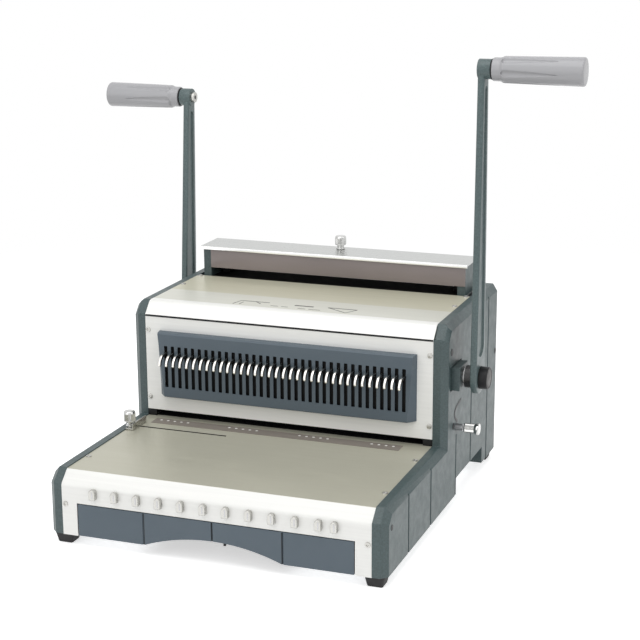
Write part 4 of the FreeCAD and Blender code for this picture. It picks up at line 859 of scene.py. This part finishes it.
cover_corners = [(-11.7, 204.0), (1.8, 218.5), (138.3, 218.5), (138.3, 217.0)]
cover_grid = bent_sheet(cover_corners, [0, 4.0, 0.4, 0], np.linspace(-SHEET_HALF, SHEET_HALF, 3))
cover_sheet = sheet_piece("cover_sheet", cover_grid, "cover_enamel")
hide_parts("top_cover")
trim = soft_box((-173.6, 173.6), (-12.1, -10.9), (202.3, 204.4), 0.2)
make_piece("cover_trim", [trim], "case", "black_plastic")

# %% [markdown]
# ## The slotted panel
# The wire's loops are held by hooks that reach through 35 upright slots in a moulded panel. Its face is flat, its
# top edge is broken, and both ends slant back, more at the foot than at the top. The panel is one grid again: the
# slots are cells left out, and their corner points move inwards a little, which rounds the ends of the slots. A black
# strip behind it is painted shade inside the slots, and two black blocks are painted shade in the ends of the
# throat between the tray and the front plate.

# %% Slotted panel
PANEL_HALF, PANEL_FACE, PANEL_BACK = 156, -21.7, -11.5
SLOT_HALF, SLOT_LOW, SLOT_HIGH, SLOT_ROUND = 2.15, 121.7, 171.2, 0.28
SLANT_LOW, SLANT_HIGH = (113, 8.3), (184, 1.9)


def panel_face():
    """Profile from back edge over foot, face and top to back edge, carried along X; the ends slant by height."""
    slot_x = (HOOK_PLACES[:, None] + np.array([-SLOT_HALF, -1.4, 1.4, SLOT_HALF])).ravel()
    x = np.concatenate([[-PANEL_HALF, -150], slot_x, [150, PANEL_HALF]])
    face = [(PANEL_FACE, z) for z in (110.6, SLOT_LOW, SLOT_LOW + 0.8, SLOT_HIGH - 0.8, SLOT_HIGH, 184.6)]
    profile = np.array([(PANEL_BACK, 110.3), (-20.9, 109.6), *face, (-20.3, 186.4), (PANEL_BACK, 186.5)])
    y, z = profile[:, :1] + 0 * x, profile[:, 1:] + 0 * x
    x = x + 0 * y
    rise = (z[:, 0] - SLANT_LOW[0]) / (SLANT_HIGH[0] - SLANT_LOW[0])
    slant = SLANT_LOW[1] + rise * (SLANT_HIGH[1] - SLANT_LOW[1])
    x[:, 1], x[:, -2] = -PANEL_HALF + slant, PANEL_HALF - slant
    y[:, [0, -1]] = PANEL_BACK
    for row, way in ((3, SLOT_ROUND), (6, -SLOT_ROUND)):
        z[row, 2:-2] += way * np.tile([1, 0, 0, 1], HOOKS)
        x[row, 2:-2] += SLOT_ROUND * np.tile([1, 0, 0, -1], HOOKS)
    points = np.stack([x, y, z], axis=-1).reshape(-1, 3)
    slots = [(middle - SLOT_HALF, middle + SLOT_HALF, SLOT_LOW, SLOT_HIGH) for middle in HOOK_PLACES]
    return leave_out(points, grid_faces(*x.shape), slots)


panel = sheet_piece("slotted_face", panel_face(), "slate_plastic", 25, 1.0)
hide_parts("slotted_panel")
# Painted shade: a black strip behind the slots, and black blocks at both ends of the throat under the front plate.
slot_shade = (*soft_box((-147, 147), (-17.4, -16.8), (114, 182), 0.2), "black_oxide")
throat_shade = on_both_sides(soft_box((163, 173.8), (-11.5, -8), (82.2, 90), 0.3))
make_piece("slot_and_throat_shade", [slot_shade, *throat_shade], "case", "black_plastic")

# %% [markdown]
# ## Window, feet and drawer grooves
# The smoked window is a thin pane that laps over the right post, under the polished lip of the closer's top plate.
# The feet are moulded rubber pads, square and narrower at the sole: a rounded square carried upwards while its size
# grows. The drawer's front is scored by three grooves, and black strips in them are painted shade; so are the black
# strips in the gap round the drawer and at the back of the tray's slot. Where a lever's shaft leaves the case, a
# painted block with a bore fills the pocket of the side panel; its outline is a rectangle in polar form.

# %% Window, feet, grooves
FOOT_X, FOOT_Y = 175.5, (-207.7, 198.3)
GROOVES = ((0, 27.2), (-77.75, 12.8), (77.75, 12.8))

pane = make_piece("window_pane", [soft_box((-157.5, 167.5), (139.9, 141.2), (229, 253.6), 0.3)], "case",
                  "smoked_acrylic")
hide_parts("closer_window")
make_piece("plate_lip", [soft_box((-169.9, 169.9), (138.15, 138.6), (251.6, 255.3), 0.15)], "case",
           "bright_lip")


def bored_block(lever, half_y, half_z, bore=7.8, around=96):
    """Closed lines round the shaft: the bore, and one over the larger of cosine / half_y and sine / half_z."""
    side, hub_y, hub_z, _ = LEVERS[lever]
    turn = np.linspace(0, 2 * np.pi, around, endpoint=False) + math.atan2(half_z, half_y)
    square = 1 / np.maximum(abs(np.cos(turn)) / half_y, abs(np.sin(turn)) / half_z)
    reach = np.stack([0 * turn + bore, 0 * turn + bore, square - 0.5, square, square])
    place = np.array([180.3, 199.0, 199.0, 198.5, 180.3])[:, None] + 0 * turn
    points = np.stack([side * place, hub_y + reach * np.cos(turn), hub_z + reach * np.sin(turn)], axis=-1)
    return points.reshape(-1, 3), [grid_faces(len(reach), around, close_rows=True, close_columns=True)]


def rubber_pad(x, y):
    """Rounded square times a half width that grows with height; half widths of nothing close sole and top."""
    outline = round_corners([(-1, -1), (1, -1), (1, 1), (-1, 1)], 0.25)
    half = np.array([0, 7.6, 8.2, 8.5, 10.9, 0])[:, None]
    height = np.array([0, 0, 0.3, 1.0, 12.0, 12.0])[:, None] + 0 * outline[:, 0]
    points = np.stack([x + half * outline[:, 0], y + half * outline[:, 1], height], axis=-1).reshape(-1, 3)
    return points, [grid_faces(len(half), len(outline), close_columns=True)]


make_piece("shaft_blocks", [bored_block("right", 17.0, 13.0), bored_block("left", 13.0, 13.0)], "case",
           "hammered_paint", 30)
pads = make_piece("rubber_pads", [rubber_pad(side * FOOT_X, y) for side in SIDES for y in FOOT_Y], "case",
                  "foot_rubber", 30)
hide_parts("feet")
# Black strips in the drawer's three grooves: painted shade. The nib is a small black block behind the arch.
grooves = [soft_box((x - 0.4, x + 0.4), (-221.8, -221.3), (low, 47.4), 0.1) for x, low in GROOVES]
nib = soft_box((11.8, 14.2), (-219.5, -216.5), (22.8, 28.5), 0.3)
make_piece("groove_shade_and_nib", grooves + [nib], "drawer", "black_plastic")
# Painted shade: black strips in the gap round the drawer and at the back of the tray's slot.
top_gap_shade = soft_box((-158, 158), (-220.1, -218), (48.3, 51), 0.2)
tray_slot_shade = soft_box((-169.5, -56.4), (-52.3, -52.1), (80.6, 81.95), 0.05)
side_gap_shade = on_both_sides(soft_box((155.8, 158), (-220.1, -218), (14, 49), 0.2))
make_piece("drawer_gap_shade", [top_gap_shade, tray_slot_shade, *side_gap_shade], "case", "black_plastic")
print("pane, pads and grooves made")

# %% [markdown]
# ## Room for the fingers
# Through the arch in the drawer's front one sees the floor, so there is an open recess behind it. The drawer and the
# pan under it are thin sheet, put together here from plates: the drawer's bottom steps up over the recess, and the
# pan ends behind it.

# %% Drawer and pan
RECESS, ARCH, FRONT = -95.0, 80, -215
DRAWER_SIDE, DRAWER_LOW, DRAWER_WALL = 152, 13.8, 2.0
PAN_ARCH, PAN_LEVELS = 84, (12, 13.5)


def plates(single, paired):
    """Rounded plates: those on the middle line, and those that stand on both sides."""
    return [soft_box(*plate, 0.3) for plate in single] + [
        part for plate in paired for part in on_both_sides(soft_box(*plate, 0.3))]


deep, top = (np.array(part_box("chip_drawer")) / MM)[1, 1:]
bottom, riser, full = (DRAWER_LOW, 15.8), (DRAWER_LOW, 30), (DRAWER_LOW, top)
middle, whole, beside = (-ARCH, ARCH), (-DRAWER_SIDE, DRAWER_SIDE), (ARCH, DRAWER_SIDE)
drawer_parts = plates([(middle, (RECESS, deep), bottom), (middle, (FRONT, RECESS), (28, 30)),
                       (middle, (RECESS, RECESS + DRAWER_WALL), riser), (whole, (deep - DRAWER_WALL, deep), full),
                       (whole, (FRONT, -213), (28, top))],
                      [(beside, (FRONT, deep), bottom), ((ARCH, 82), (FRONT, RECESS), riser),
                       ((150, DRAWER_SIDE), (-217.5, deep), full), (beside, (FRONT, -213), riser)])
drawer = make_piece("drawer_plates", drawer_parts, "drawer", "dark_plastic")
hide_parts("chip_drawer")
low, high = np.array(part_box("base_pan")) / MM
pan_parts = plates([((-PAN_ARCH, PAN_ARCH), (RECESS, high[1]), PAN_LEVELS)],
                   [((PAN_ARCH, high[0]), (low[1], high[1]), PAN_LEVELS),
                    ((152.4, 153.9), (FRONT, -12), (13.5, high[2]))])
pan = make_piece("pan_plates", pan_parts, "case", "zinc_sheet")
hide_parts("base_pan")
print("drawer reaches back to", np.round(deep, 1), "and the pan to", np.round(high[1], 1))

# %% [markdown]
# ## Screws and plugs
# Pan-head screws hold the sheets, and black plugs close the screw holes in the side panels. A screw head is a
# square grid pressed into a disc; its height is a dome, less a cross-shaped recess. On a square grid the arms of
# the cross follow the grid lines, so the recess has clean walls with few faces.

# %% Screws


def screw_head(radius=3.1, rise=1.3):
    """Square grid (u, v) drawn to a disc: u root(1 - v^2/2), v root(1 - u^2/2); height is a dome less the cross."""
    line = np.array([-1, -0.93, -0.75, -0.56, -0.46, -0.19, -0.13, 0, 0.13, 0.19, 0.46, 0.56, 0.75, 0.93, 1.0])
    u, v = np.meshgrid(line, line, indexing="ij")
    x, y = u * np.sqrt(1 - v * v / 2), v * np.sqrt(1 - u * u / 2)
    far = np.minimum(np.hypot(x, y), 1)
    narrow, wide = np.minimum(abs(u), abs(v)), np.maximum(abs(u), abs(v))
    cross = np.clip((0.19 - narrow) / 0.06, 0, 1) * np.clip((0.56 - wide) / 0.10, 0, 1)
    dome = rise * np.sqrt(np.clip(1 - 0.55 * far ** 2, 0, 1)) * (far < 0.999)
    height = dome - 0.75 * cross - 0.2 * (far >= 0.999)
    points = np.stack([x * radius, y * radius, height], axis=-1).reshape(-1, 3)
    size = len(line)
    index = np.arange(size * size).reshape(size, size)
    rim = np.concatenate([index[0, :-1], index[:-1, -1], index[-1, :0:-1], index[:0:-1, 0]])[None]
    return points, [grid_faces(size, size), rim]


def set_screws(places, facing):
    """Copies of the head at places; facing says which way its axis points, and so where its grid's u and v go."""
    points, faces = screw_head()
    u, v, h = points.T
    turned = {"-y": (u, -h, v), "+y": (-u, h, v), "+z": (u, v, h)}[facing]
    return copies(np.stack(turned, axis=1), faces, places)


SCREWS = {
    "-y": ((170, -221.7, 47), (170.5, -11.7, 105.3), (170.5, -11.7, 186.4)),
    "+z": ((170, -166.7, 82), (170, 86.3, 218.5), (170, 134.3, 218.5)),
    "+y": ((166, 212.3, 24), (166, 212.3, 206), (58, 212.3, 24), (58, 212.3, 206)),
}
TRAY_SCREW = (170, -61.7, 82)
heads = [set_screws([(side * x, y, z) for side in SIDES for x, y, z in places], facing)
         for facing, places in SCREWS.items()]
make_piece("sheet_screws", heads + [set_screws([TRAY_SCREW], "+z")], "case", "nickel", 40)
print(2 * sum(len(places) for places in SCREWS.values()) + 1, "screws")

# %% Plugs
PLUG_PLACES = [(6.5, 187, 4.0), (200.5, 137.8, 3.6), (136.5, 148.7, 3.4), (17, 98.5, 3.6), (-205.7, 62, 3.2)]
plugs = []
for y, z, radius in PLUG_PLACES:
    shape = round_corners([(189.0, 0), (189.0, radius), (190.5, radius), (190.3, radius * 0.6), (190.3, 0)],
                          [0, 0.1, 0.35, 0.3, 0], 3)
    plugs += on_both_sides(lathe(shape, (0, y, z), "x", 28))
make_piece("panel_plugs", plugs, "case", "black_plastic")
print(len(plugs), "plugs")

# %% [markdown]
# ## Printed marks
# The ruler strip carries groups of light dots at the hole pitch, and the cover shows three small line figures for
# the order of work. Print has hardly any thickness: dots are flat lathes, and lines are ribbons, a width carried
# along a path, a tenth of a millimetre proud of the surface. A black curved ribbon on the right panel, by the depth
# knob, is painted shade: the shaded edge of a round cap on the panel.

# %% Dots and lines
DOT_GROUPS = np.array([-149.8, -63.8, 22.4, 108.4])
COVER_TOP, LINE_SCALE = 218.5, 1.35
FIGURES = [(-75, 16, -71, 33, 0.9), (-71, 33, -36, 33, 1.3), (-67.5, 17, -66, 27, 0.8), (-53, 33, -44, 25, 0.9),
           (-30, 21, -21, 21, 0.9), (-17, 21, -9, 21, 0.9), (-4, 31, 19, 31, 2.4), (4, 19, 13, 19, 0.9),
           (17, 19, 31, 19, 0.9), (36, 33, 71, 33, 1.5), (36, 33, 62, 17, 0.9), (71, 33, 62, 17, 0.8)]


def ribbon(path, width, plane, level, proud=0.1):
    """Path carried sideways by half its width to both sides, and by its thickness: a flat tube with ends."""
    path = np.array(path, dtype=float)
    ahead = np.gradient(path, axis=0)
    aside = np.stack([-ahead[:, 1], ahead[:, 0]], axis=1)
    aside = aside / np.linalg.norm(aside, axis=1, keepdims=True) * width / 2
    flat = np.stack([path - aside, path + aside, path + aside, path - aside], axis=1)
    rise = np.array([level - 0.3, level - 0.3, level + proud, level + proud]) + 0 * flat[..., 0]
    return tube(on_axis(plane, rise, flat[..., 0], flat[..., 1]))


dot_x = (DOT_GROUPS[:, None] + np.arange(5) * PITCH).ravel()[:-1]
dot = [(82.3, 0), (82.3, 1.6), (82.58, 1.6), (82.62, 1.3), (82.62, 0)]
make_piece("ruler_dots", [lathe(dot, (x, -26.2, 0), "z", 16) for x in dot_x], "case", "dot_paint")
lines = [ribbon([line[:2], line[2:4]], line[4] * LINE_SCALE, "z", COVER_TOP) for line in FIGURES]
make_piece("cover_figures", lines, "case", "line_ink")
# A black arc on the right panel: painted shade, where the edge of a round cap lies in shade.
shade_arc = curve(*np.array([[(48, 121.5)], [(3, 117)], [(33, 99.7)]]), 16)[0]
make_piece("disc_edge_shade", [ribbon(shade_arc, 3.0, "x", 190.0, 0.3)], "case", "black_plastic")
print(len(dot_x), "dots and", len(lines), "lines")

# %% [markdown]
# ## Return springs
# Two tension springs pull the punch beam up again. In the CAD they are plain rods; here each is a round wire
# carried along a helix, with close turns at both ends. The piece is given to no body, so both its ends stay put
# when the beam goes down.

# %% Springs


def coil(x, y, low, high, radius=4.2, wire=0.8, turns=15):
    """Circle carried along a helix: height grows slowly near both ends and evenly between them."""
    t = np.linspace(0, 1, turns * 18 + 1)[:, None]
    angle = 2 * np.pi * turns * t
    height = low + wire + (high - low - 2 * wire) * (t - 0.1 * np.sin(2 * np.pi * t) / (2 * np.pi) * 2)
    around = np.linspace(0, 2 * np.pi, 8, endpoint=False)[None, :]
    reach = radius + wire * np.cos(around)
    return tube(np.stack([x + reach * np.cos(angle), y + reach * np.sin(angle), height + wire * np.sin(around)],
                         axis=-1))


springs = make_piece("spring_wire", [coil(side * 154, 2.3, 146.2, 199.8) for side in SIDES], None,
                     "tool_steel", 60)
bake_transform(springs)
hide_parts("return_springs")
print("springs with", len(springs.data.polygons), "faces")
